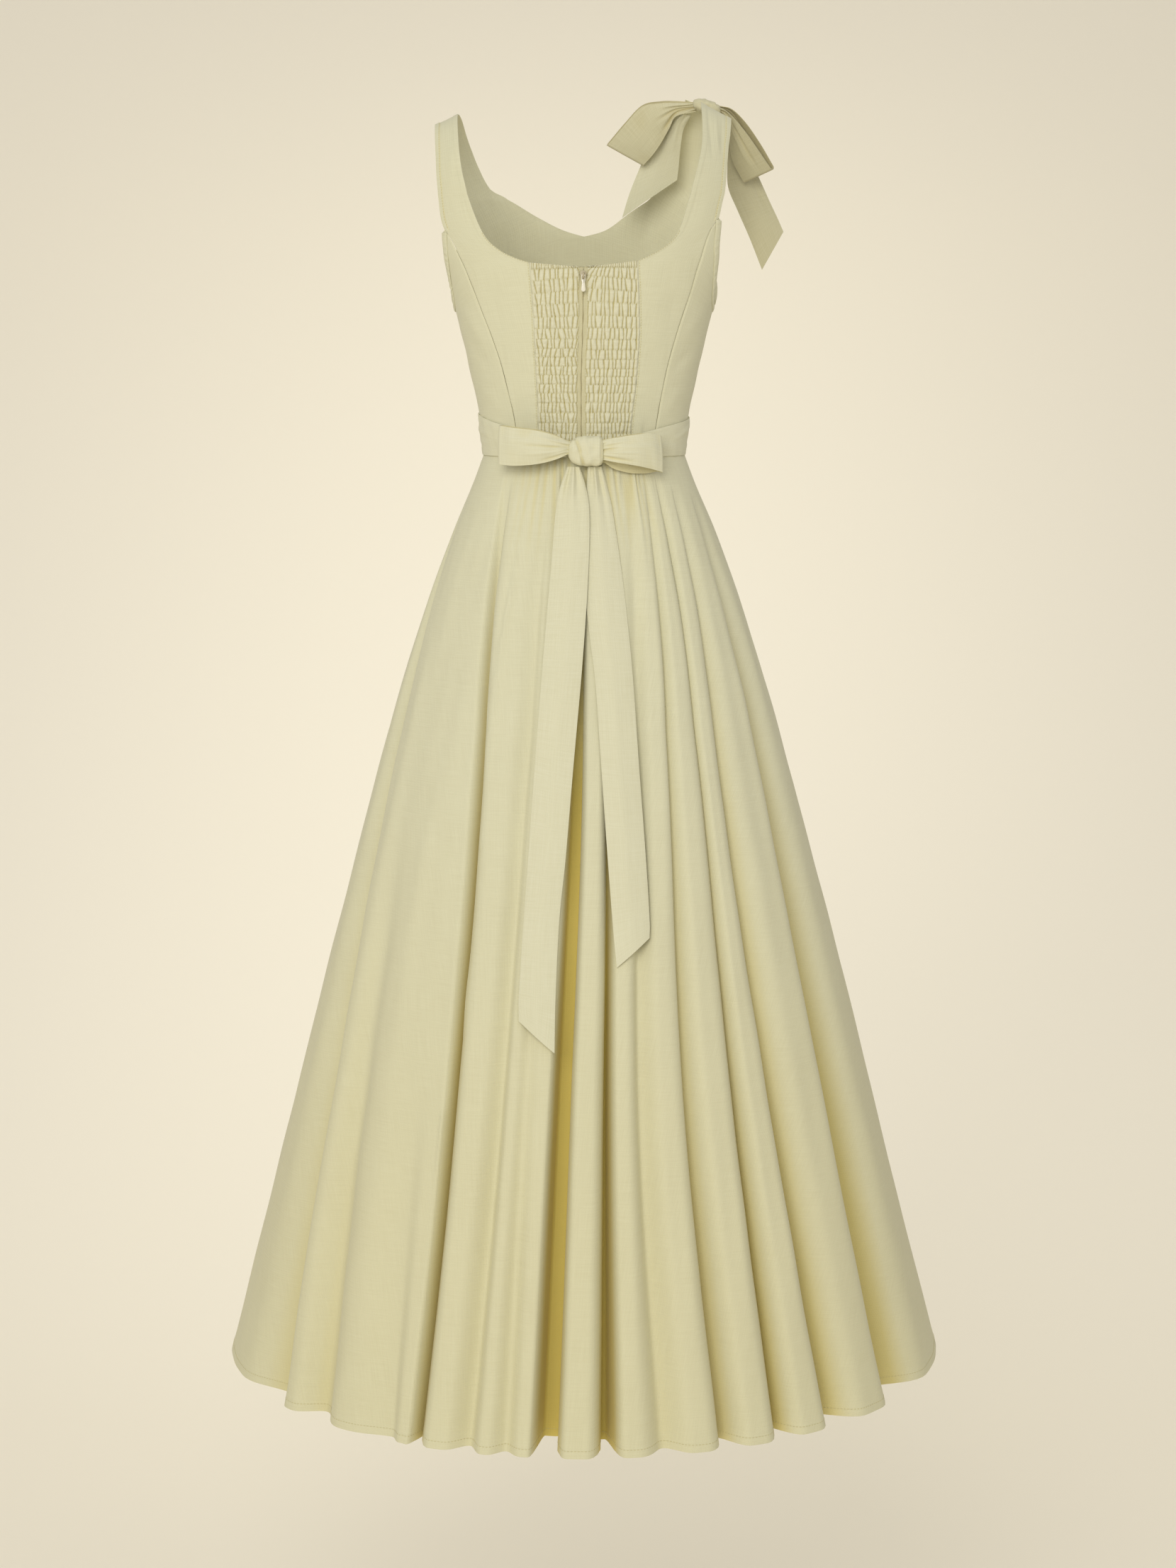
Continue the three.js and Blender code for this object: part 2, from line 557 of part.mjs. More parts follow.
// Half of the smocked panel, between the zip and a back panel. Puffs stand out of a plain wall between
// the rows of elastic; each is a little higher or lower than the next.
function smockedBack(name, backRows, hand) {
  const seam = backRows.slice(0, 7);
  const last = seam.length - 1;
  const edges = (up) => {
    const outZ = between(seam, up * last, "inZ");
    const inZ = lerp(outZ, NECK_BACK, up === 1 ? 1 : up ** 12);
    const inX = zipX(inZ) + hand * GROOVE;
    const inner = bodyPlace(inX, inZ);
    const outer = bodyPlace(between(seam, up * last, "inX"), outZ);
    return { inner, outer };
  };
  const rowsOf = (rowCount, columnCount, offAt) =>
    steps(rowCount).map((up, r) => {
      const { inner, outer } = edges(up);
      const to = outer.turn - hand * SEAM_TURN;
      return steps(columnCount).map((share, c) =>
        offBody(lerp(inner.turn, to, share), lerp(inner.level, outer.level, share), offAt(r, c, up)),
      );
    });
  const puff = (r, c, up) => {
    const height = between(seam, up * last, "inZ");
    const underSash = Math.min(1, Math.max(0, (height - SMOCK_FLAT) / SMOCK_FADE));
    const edge = r === 0 || r === 2 * SMOCK_ROWS || c === 0 || c === 2 * SMOCK_PUFFS ? 0.25 : 1;
    const across = c % 2 === 1 ? 1 : 0.1;
    const along = r % 2 === 1 ? 1 : 0.45;
    const uneven = 0.8 + 0.2 * Math.sin(12.9 * r + 7.3 * c);
    return SMOCK_RAISE * underSash * edge * across * along * uneven;
  };
  const outer = rowsOf(2 * SMOCK_ROWS, 2 * SMOCK_PUFFS, puff);
  const inner = rowsOf(12, 4, () => -CLOTH);
  return sheet(name, SMOCKED, outer, inner);
}

// The zip: two tapes behind the smocking, with the closed coil standing up in the groove.
function zip(name) {
  const tape = 11;
  const coil = 0.8;
  const slope = 0.1;
  const tapeFront = -CLOTH - 0.4;
  const tapeBack = -CLOTH - 1.3;
  const coilFront = -0.7;
  const heights = steps(10).map((share) => lerp(WAIST + 1, NECK_BACK - 1.5, share));
  const rowsOf = (profile) =>
    heights.map((z) =>
      profile.map(([across, off]) => {
        const place = bodyPlace(zipX(z) + across, z);
        return offBody(place.turn, place.level, off);
      }),
    );
  const front = [
    [-tape, tapeFront],
    [-coil, tapeFront],
    [slope - coil, coilFront],
    [coil - slope, coilFront],
    [coil, tapeFront],
    [tape, tapeFront],
  ];
  const back = [
    [-tape, tapeBack],
    [tape, tapeBack],
  ];
  return sheet(name, COIL, rowsOf(front), rowsOf(back));
}

// The slider's plate and the bridge over the pull tab's pin, and the pull tab itself. Both are placed
// by the pin's centre, which is the tab's hinge.
const SLIDER = { width: 7.4, height: 10, thick: 2.2, bridge: 1.8, bridgeHigh: 7, bridgeOut: 3.2, bar: 1.2 };
const TAB = { thick: 0.9, bar: 0.5, eyeWide: 2.6, eyeEnd: 4.6, neck: 2.1, foot: 2.4, length: 18 };
const PIN_Z = NECK_BACK - 9;
const PIN_Y = -(bodyBack(PIN_Z) + SMOCK_RAISE + 0.4 + SLIDER.thick + (SLIDER.bridgeOut - SLIDER.bar) / 2);

// A plate that faces -Y, from its outline in x and z; its middle is at y 0.
function plate(shape, thickness) {
  const options = { depth: thickness, bevelEnabled: false, curveSegments: 4 };
  return new THREE.ExtrudeGeometry(shape, options).translate(0, 0, -thickness / 2).rotateX(Math.PI / 2);
}

function placed(name, material, geometry) {
  const mesh = new THREE.Mesh(geometry, material);
  mesh.name = name;
  mesh.position.set(zipX(PIN_Z), PIN_Y, PIN_Z);
  return mesh;
}

// A closed three.js geometry as a solid that can be joined to another.
function solid(wasm, geometry) {
  const bare = new THREE.BufferGeometry();
  bare.setAttribute("position", geometry.getAttribute("position").clone());
  bare.setIndex(geometry.index);
  const merged = mergeVertices(bare, 1e-4);
  return new wasm.Manifold(
    new wasm.Mesh({
      numProp: 3,
      vertProperties: new Float32Array(merged.getAttribute("position").array),
      triVerts: new Uint32Array(merged.index.array),
    }),
  );
}

function geometryOf(made) {
  const { vertProperties, triVerts } = made.getMesh();
  const geometry = new THREE.BufferGeometry();
  geometry.setAttribute("position", new THREE.BufferAttribute(new Float32Array(vertProperties), 3));
  geometry.setIndex(new THREE.BufferAttribute(new Uint32Array(triVerts), 1));
  geometry.computeVertexNormals();
  return geometry;
}

async function slider(name) {
  const wasm = await Module();
  wasm.setup();
  const halfWidth = SLIDER.width / 2;
  const halfHeight = SLIDER.height / 2;
  const halfFoot = halfWidth * 0.45;
  const outline = new THREE.Shape();
  outline.moveTo(-halfFoot, -halfHeight);
  outline.lineTo(halfFoot, -halfHeight);
  outline.absarc(0, halfHeight * 0.3, halfWidth, 0, Math.PI, false);
  outline.closePath();
  const faceOut = (SLIDER.bridgeOut - SLIDER.bar) / 2;
  const body = plate(outline, SLIDER.thick).translate(0, faceOut + SLIDER.thick / 2, 0);
  // The bridge's side view, with its feet sunk a little into the plate and its corners cut.
  const halfBridge = SLIDER.bridgeHigh / 2;
  const sunk = 0.5;
  const cut = SLIDER.bar + 0.3;
  const side = new THREE.Shape();
  side.moveTo(faceOut + sunk, -halfBridge);
  side.lineTo(faceOut + sunk, halfBridge);
  side.lineTo(-faceOut, halfBridge);
  side.lineTo(-faceOut - SLIDER.bar, halfBridge - cut);
  side.lineTo(-faceOut - SLIDER.bar, cut - halfBridge);
  side.lineTo(-faceOut, -halfBridge);
  side.closePath();
  const opening = new THREE.Path();
  const inside = halfBridge - SLIDER.bar;
  opening.moveTo(faceOut, -inside);
  opening.lineTo(-faceOut, -inside);
  opening.lineTo(-faceOut, inside);
  opening.lineTo(faceOut, inside);
  side.holes.push(opening);
  const toSide = new THREE.Matrix4().makeBasis(
    new THREE.Vector3(0, 1, 0),
    new THREE.Vector3(0, 0, 1),
    new THREE.Vector3(1, 0, 0),
  );
  const bridge = new THREE.ExtrudeGeometry(side, { depth: SLIDER.bridge, bevelEnabled: false })
    .translate(0, 0, -SLIDER.bridge / 2)
    .applyMatrix4(toSide);
  return placed(name, ENAMEL, geometryOf(solid(wasm, body).add(solid(wasm, bridge))));
}

function pullTab(name) {
  const waist = TAB.foot * 0.6;
  const [collar, waistEnd] = [-TAB.eyeEnd - 1, -TAB.eyeEnd - 3];
  const outline = new THREE.Shape();
  outline.moveTo(-TAB.neck, TAB.bar);
  outline.lineTo(-TAB.neck, collar);
  outline.lineTo(-waist, waistEnd);
  outline.absarc(0, -TAB.length + TAB.foot, TAB.foot, Math.PI, 2 * Math.PI, false);
  outline.lineTo(waist, waistEnd);
  outline.lineTo(TAB.neck, collar);
  outline.lineTo(TAB.neck, TAB.bar);
  outline.closePath();
  const eye = new THREE.Path();
  eye.moveTo(-TAB.eyeWide / 2, -TAB.bar);
  eye.lineTo(TAB.eyeWide / 2, -TAB.bar);
  eye.lineTo(TAB.eyeWide / 2, -TAB.eyeEnd);
  eye.lineTo(-TAB.eyeWide / 2, -TAB.eyeEnd);
  outline.holes.push(eye);
  return placed(name, ENAMEL, plate(outline, TAB.thick));
}

// ---- Skirt ----
const skirtRing = {
  half: curve(SKIRT, "z", "half"),
  back: curve(SKIRT, "z", "back"),
  front: curve(SKIRT, "z", "front"),
};

// The lines down a skirt panel: each side seam lies on the brow of a broad fold, and then come the
// valleys with a ridge between each two.
function foldLines(valleys) {
  const ridge = (before, after, share) => ({
    top: lerp(before.top, after.top, share),
    hem: lerp(before.hem, after.hem, share),
    start: 0,
    depth: 0,
  });
  const seams = [-90, 90].map((side) => ({ top: side, hem: side, start: 0, depth: 0 }));
  const lines = [seams[0], ridge(seams[0], valleys[0], 0.55)];
  valleys.forEach((valley, index) => {
    if (index > 0) lines.push(ridge(valleys[index - 1], valley, 0.5));
    lines.push(valley);
  });
  lines.push(ridge(valleys.at(-1), seams[1], 0.45), seams[1]);
  return lines;
}

// A skirt panel hangs from the waist seam in folds. Each fold's line is straight from the waist to the
// hem, and between a ridge and a valley the cloth swings in along a half wave.
function skirtPanel(name, valleys, faces) {
  const depthOf = skirtRing[faces];
  const forward = faces === "back" ? -1 : 1;
  const lines = foldLines(valleys);
  const lineAt = (line, drop) => {
    const share = drop / (WAIST - HEM);
    const z = WAIST - drop;
    const [top, hem] = [radians(line.top), radians(line.hem)];
    const x = lerp(Math.sin(top) * skirtRing.half(WAIST), Math.sin(hem) * skirtRing.half(HEM), share);
    const y = lerp(Math.cos(top) * depthOf(WAIST), Math.cos(hem) * depthOf(HEM), share);
    const open = Math.max(0, (share - line.start) / (1 - line.start));
    const turn = Math.atan2(x / skirtRing.half(z), y / depthOf(z));
    return { turn, inset: line.depth * open ** FOLD_OPENING };
  };
  const count = (lines.length - 1) * FOLD_STEPS;
  const pointAt = (drop, index, off) => {
    const z = WAIST - WAIST_GAP - drop * (1 - WAIST_GAP / (WAIST - HEM));
    const low = Math.min(lines.length - 2, Math.floor(index / FOLD_STEPS));
    const a = lineAt(lines[low], drop);
    const b = lineAt(lines[low + 1], drop);
    const share = index / FOLD_STEPS - low;
    const swing = (1 - Math.cos(Math.PI * share)) / 2;
    const gap = SEAM_TURN * (1 - Math.abs(1 - (2 * index) / count) ** 40);
    const turn = lerp(a.turn, b.turn, share) * (1 - SEAM_TURN + gap);
    const gathered =
      faces === "back" && index > 0 && index < count
        ? Math.max(0, 1 - drop / GATHER_DROP) * Math.max(0, 1 - (Math.abs(turn) / radians(GATHER_REACH)) ** 4)
        : 0;
    const gather = gathered * GATHER_RAISE * (index % 2);
    const squareness = 2 / lerp(ROUNDNESS, 2, Math.min(1, drop / OVAL_DROP));
    const inset = lerp(a.inset, b.inset, swing) - gather - off;
    const half = skirtRing.half(z) - inset;
    const depth = depthOf(z) - inset;
    const x = half * Math.sign(turn) * Math.abs(Math.sin(turn)) ** squareness;
    return new THREE.Vector3(x, forward * depth * Math.max(0, Math.cos(turn)) ** squareness, z);
  };
  const middle = SKIRT_DROPS.map((drop) =>
    Array.from({ length: count + 1 }, (_, index) => pointAt(drop, index, -CLOTH / 2)),
  );
  const [outer, inner] = thicken(middle, CLOTH);
  return sheet(name, LINEN, outer, inner);
}

// The depth of the skirt's ridges at an x and a height, behind the side line.
function skirtBehind(x, z) {
  const reach = Math.min(0.98, Math.abs(x) / skirtRing.half(z));
  return -skirtRing.back(z) * Math.sqrt(1 - reach * reach);
}

// ---- Sash and bows ----
function sash(name) {
  const columns = 52;
  const edge = (key) => curve(SASH, "turn", key);
  const [top, bottom, stand] = [edge("top"), edge("bottom"), edge("off")];
  const [from, to] = [SASH[0].turn, SASH.at(-1).turn];
  const gridAt = (rowCount, extra) =>
    steps(rowCount).map((up) =>
      steps(columns).map((share) => {
        const turn = lerp(from, to, share);
        return offBody(radians(turn), lerp(bottom(turn), top(turn), up), stand(turn) + extra);
      }),
    );
  return sheet(name, RIBBONED, gridAt(2, CLOTH), gridAt(2, 0));
}

// A bow's loop: the ribbon runs out on one layer, round the fold at its end and back on the other. It
// is pinched into pleats where the knot holds it.
function loop(name, rows) {
  const columns = 6;
  const pinch = 1.1;
  const edgeA = (row) => new THREE.Vector3(row.ax, row.ay, row.az);
  const edgeB = (row) => new THREE.Vector3(row.bx, row.by, row.bz);
  const last = rows.length - 1;
  const frames = rows.map((row, index) => {
    const before = rows[Math.max(0, index - 1)];
    const after = rows[Math.min(last, index + 1)];
    const along = edgeA(after).add(edgeB(after)).sub(edgeA(before)).sub(edgeB(before)).normalize();
    const across = edgeB(row).sub(edgeA(row)).normalize();
    return { row, along, out: along.clone().cross(across).normalize() };
  });
  const lineAt = (frame, side, ahead, fade) =>
    steps(columns).map((share, c) => {
      const pleat = pinch * fade * (c % 2 === 0 ? 1 : -1);
      return edgeA(frame.row)
        .lerp(edgeB(frame.row), share)
        .addScaledVector(frame.out, (side * frame.row.gap) / 2 + pleat)
        .addScaledVector(frame.along, (ahead * frame.row.gap) / 2);
    });
  const fadeAt = (index) => Math.max(0, 1 - index / 2);
  const end = frames[last];
  const grid = [
    ...frames.map((frame, index) => lineAt(frame, 1, 0, fadeAt(index))),
    lineAt(end, 0.7, 0.7, 0),
    lineAt(end, 0, 1, 0),
    lineAt(end, -0.7, 0.7, 0),
    ...reversed(frames.map((frame, index) => lineAt(frame, -1, 0, fadeAt(index)))),
  ];
  return sheet(name, RIBBONED, ...thicken(grid, RIBBON));
}

// A bow's tail: a ribbon between two edges, crowned along its middle and pleated at the knot.
function tail(name, rows, depthAt) {
  const columns = 5;
  const crown = 3;
  const pleat = 1.2;
  const grid = rows.map((row, index) => {
    const fade = Math.max(0, 1 - index / 3);
    return steps(columns).map((share, c) => {
      const x = lerp(row.ax, row.bx, share);
      const z = lerp(row.az, row.bz, share);
      const raise = crown * Math.sin(Math.PI * share) + pleat * fade * (c % 2);
      return new THREE.Vector3(x, depthAt(row, share, x, z) - raise, z);
    });
  });
  return sheet(name, RIBBONED, ...thicken(grid, RIBBON));
}

const onSkirt = (row, share, x, z) => skirtBehind(x, z) - row.off;
const freeHanging = (row, share) => lerp(row.ay, row.by, share);

// A knot: a squarish rounded lump of wrapped ribbon with a few soft grooves running round it. It leans
// down towards +X by the share given.
function knot(name, centre, size, lean) {
  const grooves = 5;
  const grooveDepth = 0.07;
  const boxy = 2.7;
  const geometry = new THREE.SphereGeometry(1, 20, 12);
  const position = geometry.getAttribute("position");
  const point = new THREE.Vector3();
  for (let i = 0; i < position.count; i++) {
    point.fromBufferAttribute(position, i);
    const power = ["x", "y", "z"].reduce((sum, axis) => sum + Math.abs(point[axis]) ** boxy, 0);
    point.multiplyScalar(power ** (-1 / boxy));
    const round = Math.atan2(point.z, point.y);
    const wave = (1 + Math.cos(grooves * round + 2 * point.x)) * (1 - point.x * point.x);
    const groove = 1 - grooveDepth * wave;
    point.set(point.x * size.x, point.y * size.y * groove, point.z * size.z * groove);
    point.z += lean * point.x;
    position.setXYZ(i, point.x, point.y, point.z);
  }
  const mesh = new THREE.Mesh(geometry, RIBBONED);
  mesh.name = name;
  mesh.position.set(centre.x, centre.y, centre.z);
  return mesh;
}

// ---- The dress ----
const dress = new THREE.Group();
dress.add(
  panel("back_panel_left", BACK_LEFT, 5),
  panel("back_panel_right", BACK_RIGHT, 5),
  sideBack("side_back_left", BACK_LEFT, SIDE_LEFT),
  sideBack("side_back_right", BACK_RIGHT, SIDE_RIGHT),
  smockedBack("smocked_back_left", BACK_LEFT, -1),
  smockedBack("smocked_back_right", BACK_RIGHT, 1),
  frontBodice("front_bodice"),
  binding("armhole_binding_left", SIDE_LEFT),
  binding("armhole_binding_right", SIDE_RIGHT),
  zip("zip"),
  await slider("zip_slider"),
  pullTab("zip_pull"),
  skirtPanel("skirt_back", BACK_VALLEYS, "back"),
  skirtPanel("skirt_front", FRONT_VALLEYS, "front"),
  sash("sash"),
  knot("waist_knot", { x: 2, y: -102.5, z: -383.5 }, { x: 19.5, y: 12, z: 16 }, 0),
  loop("waist_loop_left", WAIST_LOOP_LEFT),
  loop("waist_loop_right", WAIST_LOOP_RIGHT),
  tail("waist_tail_left", WAIST_TAIL_LEFT, onSkirt),
  tail("waist_tail_right", WAIST_TAIL_RIGHT, onSkirt),
  knot("shoulder_knot", { x: 138, y: 4, z: -0.5 }, { x: 16.5, y: 11, z: 9.5 }, -0.25),
  loop("shoulder_loop_in", SHOULDER_LOOP_IN),
  loop("shoulder_loop_out", SHOULDER_LOOP_OUT),
  tail("shoulder_tail_in", SHOULDER_TAIL_IN, freeHanging),
  tail("shoulder_tail_out", SHOULDER_TAIL_OUT, freeHanging),
);

export default dress;
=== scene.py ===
"""A linen maxi dress on an unseen wearer, seen from behind.

The cloth is made as thin shells on the frame's own forms: surfaces worked out with numpy on grids, in
millimetres, with +Z up, the wearer facing +Y and +X at their right. The numbers of the tables are the
dress's own sizes. Every piece rides on the body "dress", but for the zip's pull tab.
"""
import math

import bpy
import numpy as np
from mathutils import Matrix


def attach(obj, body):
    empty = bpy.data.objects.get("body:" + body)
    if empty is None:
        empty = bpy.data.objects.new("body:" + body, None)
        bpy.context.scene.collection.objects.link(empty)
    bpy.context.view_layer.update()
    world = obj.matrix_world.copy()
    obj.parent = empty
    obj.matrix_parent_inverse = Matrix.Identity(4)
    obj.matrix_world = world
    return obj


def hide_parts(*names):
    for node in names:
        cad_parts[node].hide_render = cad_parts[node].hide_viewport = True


# ---- Driving dimensions, in millimetres ----
MM = 0.001
SHELL = 0.9  # thickness of a shell of linen, with its turnings
SEAM_TURN = 0.0006  # half the gap at a seam, as a turn in radians about the body
PRINCESS_GAP = 4.0  # how many times as wide the gap at a princess seam is
ROUNDNESS = 2.2  # exponent of a body ring: 2 is an ellipse, more is squarer
SHOULDER_BASE = -100.0  # height where the straps start to bend over the shoulders
SHOULDER_SEAM = -0.3  # level where a strap ends, on top of the shoulder
STRAP_INNER = 141.0  # x of a strap's inner edge on top of the shoulder
STRAP_TOP = -8.0  # height of that edge
SHOULDER_FALL = 0.46  # drop of the shoulder for each millimetre further out
WAIST = -390.0
BODICE_END = -389.8  # the bodice stops a hair above the waist seam
HEM = -1450.0
NECK_BACK = -181.0  # height of the back neckline at the zip
BODY_RADIUS = 95.0  # about the body's radius at an armhole
ARMHOLE_MIDDLE = -140.0  # level of the middle of an armhole
BINDING_WIDE = 6.5
KNOT_ROOM = 3.0  # how far the right front strap's end stays below the knot
SIDE = 1000.0  # an x past the side line, which lands on the side seam
TURNED = 6.5  # width of the turned and topstitched edge of an armhole
STITCHED = 5.4  # distance of the topstitching from that edge
SMOCK_SPACING = 11.2  # height between two rows of elastic thread
HEM_TURNED = 8.0  # width of the turned hem
# Rows of the bodice's tables: where a back panel's smocked edge meets the neckline, where the side seam
# and the princess seam end at the armhole, and the last row, on top of the shoulder.
NECK_CORNER = 6
SIDE_SEAM_ROW = 6
ARMHOLE_ROW = 10
TOP_ROW = 16


def table(columns, rows):
    """Rows of numbers under named columns, as one array for each column."""
    return dict(zip(columns.split(), np.array(rows, float).T))


# Rings of the body, and of the skirt's folds at their fullest: half the width, depth behind and before.
BODY = table("z half back front", [
    (-390, 115, 84, 87),
    (-342, 120.5, 83, 92),
    (-300, 129.5, 86, 103),
    (-261, 138.5, 90, 117),
    (-223, 148, 94, 123),
    (-190, 160, 97, 120),
    (-165, 170, 97, 113),
    (-133, 178, 95, 104),
    (-100, 182, 92, 96),
])
SKIRT = table("z half back front", [
    (-390, 115, 84, 87),
    (-423, 127.4, 96, 97),
    (-480, 151.5, 114, 116),
    (-562, 181.6, 141, 142),
    (-686, 220.6, 180, 178),
    (-853, 266.7, 230, 226),
    (-1110, 333.6, 301, 293),
    (-1450, 420, 385, 372),
])
# Valleys between the skirt's folds: degrees from the middle of the panel at the shares of the drop in
# FOLD_SHARES, the share where it opens, its depth at the hem, how steep it is on its left and right, how
# many degrees its steep side laps over it, from the right or, below 0, from the left, and the share of
# its breadth that lies flat along its bottom.
FOLD_SHARES = (0.0, 0.12, 0.35, 0.65, 1.0)
VALLEY_COLUMNS = "top high mid low hem start depth left right lap floor"
BACK_VALLEYS = table(VALLEY_COLUMNS, [
    (-84, -81, -73, -63, -58, 0.05, 30, 1.5, 1.6, 0.0, 0.0),
    (-68, -62, -55, -51.5, -47, 0.4, 26, 1.6, 1.6, 0.2, 0.0),
    (-56, -50, -41, -35, -31, 0.62, 12, 1.2, 1.2, 0.0, 0.0),
    (-44.5, -36, -28.8, -25.8, -26, 0.02, 62, 9.0, 9.0, 1.8, 0.16),
    (-17, -16, -16.2, -16.6, -18, 0.02, 20, 1.6, 1.4, 0.0, 0.0),
    (-9, -9.5, -10, -11.5, -12, 0.45, 14, 1.6, 1.6, 0.0, 0.0),
    (-1, -1.1, -1.7, -4.1, -5.9, 0.04, 66, 4.0, 7.0, 0.6, 0.36),
    (7.5, 6.9, 6, 4.2, 3.1, 0.2, 58, 7.0, 4.0, -0.8, 0.1),
    (23, 19, 14.8, 11.2, 12.4, 0.02, 22, 1.5, 1.3, -0.2, 0.0),
    (33, 28.4, 23.4, 20.3, 21.8, 0.02, 36, 5.0, 1.6, -0.9, 0.04),
    (40, 36.2, 32.8, 30.6, 31, 0.02, 50, 9.0, 1.9, -1.7, 0.08),
    (52, 45.8, 39.9, 39.2, 41.5, 0.03, 44, 8.0, 1.8, -1.5, 0.08),
    (71, 64.5, 60, 58.4, 58.5, 0.04, 46, 5.0, 1.6, -1.5, 0.1),
])
FRONT_VALLEYS = table(VALLEY_COLUMNS, [
    (-72, -68, -64, -63, -62, 0.06, 40, 1.6, 3.0, 1.0, 0.1),
    (-52, -50, -46, -44, -43, 0.35, 28, 1.6, 1.6, 0.2, 0.0),
    (-38, -34, -30, -28, -28, 0.03, 52, 2.0, 6.0, 1.5, 0.1),
    (-20, -17, -15, -14, -13, 0.1, 34, 1.6, 2.0, 0.3, 0.0),
    (-3, -2, -1, 0, 1, 0.04, 48, 4.0, 5.0, 0.6, 0.3),
    (16, 15, 14.5, 14, 14, 0.3, 24, 1.6, 1.4, -0.2, 0.0),
    (33, 31, 28, 27, 27, 0.03, 54, 6.0, 2.0, -1.5, 0.1),
    (53, 50, 47, 45, 45, 0.2, 34, 2.4, 1.6, -0.5, 0.0),
    (73, 69, 66, 64, 64, 0.06, 44, 4.0, 1.8, -1.4, 0.1),
])

# Panels of the bodice, from the waist up: the edge towards the middle (in) and towards the side (out).
BACK_LEFT = table("in_x in_z out_x out_z", [
    (-51, BODICE_END, -72, BODICE_END),
    (-52, -352, -78.5, -352),
    (-53, -318, -86, -318),
    (-54.5, -287, -94, -287),
    (-56, -256, -104, -258),
    (-58, -217, -118, -222),
    (-61, -176, -131.5, -187),
    (-76, -171, -138.5, -172),
    (-91, -164, -145, -158),
    (-105, -153, -151.5, -146.5),
    (-114, -140, -156, -139),
    (-122, -122, -160, -127),
    (-130, -99, -163.5, -100),
    (-136, -73, -165.3, -75),
    (-139.5, -47, -166.5, -52),
    (-141.5, -24, -167.5, -33),
    (-142.5, 0, -168.5, 0),
])
BACK_RIGHT = table("in_x in_z out_x out_z", [
    (51.5, BODICE_END, 76, BODICE_END),
    (54, -352, 82.5, -352),
    (58, -318, 88.5, -318),
    (60.5, -290, 94.5, -290),
    (62.5, -256, 104, -256),
    (62, -215, 117, -216),
    (60, -174, 130, -174),
    (75, -167, 136, -154),
    (89, -159, 142, -139),
    (100, -149, 147.5, -131),
    (107, -137, 151, -126),
    (113, -120, 155, -108),
    (119, -99, 158, -91),
    (125.5, -74, 160, -70),
    (131, -48, 161.8, -48),
    (133, -26, 164, -34),
    (133.5, -7, 165, -21),
])
# The armhole side of a side back panel; its other edge is the back panel's princess seam.
SIDE_LEFT = table("out_x out_z", [
    (-SIDE, BODICE_END),
    (-SIDE, -352),
    (-SIDE, -318),
    (-SIDE, -287),
    (-SIDE, -258),
    (-SIDE, -238),
    (-SIDE, -223),
    (-149, -213),
    (-153.5, -190),
    (-157.5, -165),
    (-159, -142),
])
SIDE_RIGHT = table("out_x out_z", [
    (SIDE, BODICE_END),
    (SIDE, -352),
    (SIDE, -318),
    (SIDE, -287),
    (SIDE, -258),
    (SIDE, -238),
    (SIDE, -223),
    (147.5, -213),
    (149.5, -189),
    (151.5, -158),
    (153.4, -129),
])
# One half of the front. The rows up to FRONT_SPLIT meet at centre front, and above it the neckline
# parts the halves. The knot pulls the right strap in by pull and its neckline up by lift.
FRONT_SPLIT = 7
FRONT = table("in_x in_z out_x out_z pull lift", [
    (0, BODICE_END, SIDE, BODICE_END, 0, 0),
    (0, -352, SIDE, -352, 0, 0),
    (0, -318, SIDE, -318, 0, 0),
    (0, -287, SIDE, -287, 0, 0),
    (0, -256, SIDE, -258, 0, 0),
    (0, -215, SIDE, -238, 0, 0),
    (0, -178, SIDE, -223, 0, 0),
    (0, -141, 149.5, -212, 0, 0),
    (27, -133, 149.5, -194, 0, 0),
    (55, -119, 148, -170, 0, 6),
    (86, -101, 147, -145, 0, 13),
    (105, -91, 148, -121, 0, 17),
    (112, -84, 151, -101, 4, 18),
    (119, -71, 155, -80, 11, 12),
    (128, -50, 160.5, -56, 18, 0),
    (136, -26, 165, -34, 23, 0),
    (142.5, 0, 168.5, 0, 26, 0),
])
ZIP_LINE = table("z x", [(-390, -3), (-300, -3), (-250, -1.5), (NECK_BACK, -0.5)])

# The sash: degrees round the waist from centre back, its edges, and how far it stands off the body.
SASH = table("turn top bottom off", [
    (8, -373, -391, 2.6),
    (31, -364, -391, 2.4),
    (52, -356.5, -391, 1.2),
    (88, -349, -391, 0.9),
    (130, -344, -391, 0.9),
    (180, -342, -391, 0.9),
    (230, -343, -391, 0.9),
    (272, -344, -391, 0.9),
    (305, -353.5, -391, 1.2),
    (330, -363, -391, 2.4),
    (352, -373, -391, 2.6),
])
# Loops, from the knot to the fold at their end: the ribbon's two edges, the space between its layers,
# the crown of its front layer, and how far the back layer's lower edge hangs below the front's.
LOOP_COLUMNS = "ax ay az bx by bz gap crown droop"
WAIST_LOOP_LEFT = table(LOOP_COLUMNS, [
    (-12, -102, -374, -12, -102, -386, 7, 0, 0),
    (-19, -102, -372, -19, -102, -387, 9, 1, 0),
    (-32, -102, -366, -32, -102, -393, 14, 3, 0),
    (-52, -99, -360.5, -52, -99, -398, 19, 4, 0),
    (-75, -91, -358, -75, -91, -400, 18, 3, 0),
    (-90, -85, -356, -91, -85, -399, 13, 1, 0),
])
WAIST_LOOP_RIGHT = table(LOOP_COLUMNS, [
    (15, -102, -374, 15, -102, -391, 7, 0, 1),
    (23.2, -102, -371, 23.2, -102, -393, 9, 1, 4),
    (35, -102, -368.5, 34, -102, -395.5, 13, 3, 8),
    (50, -99, -366, 52, -99, -399, 17, 4, 9),
    (68, -93, -364, 70, -93, -403, 17, 3, 6),
    (82, -87, -366, 84, -87, -407, 12, 1, 0),
])
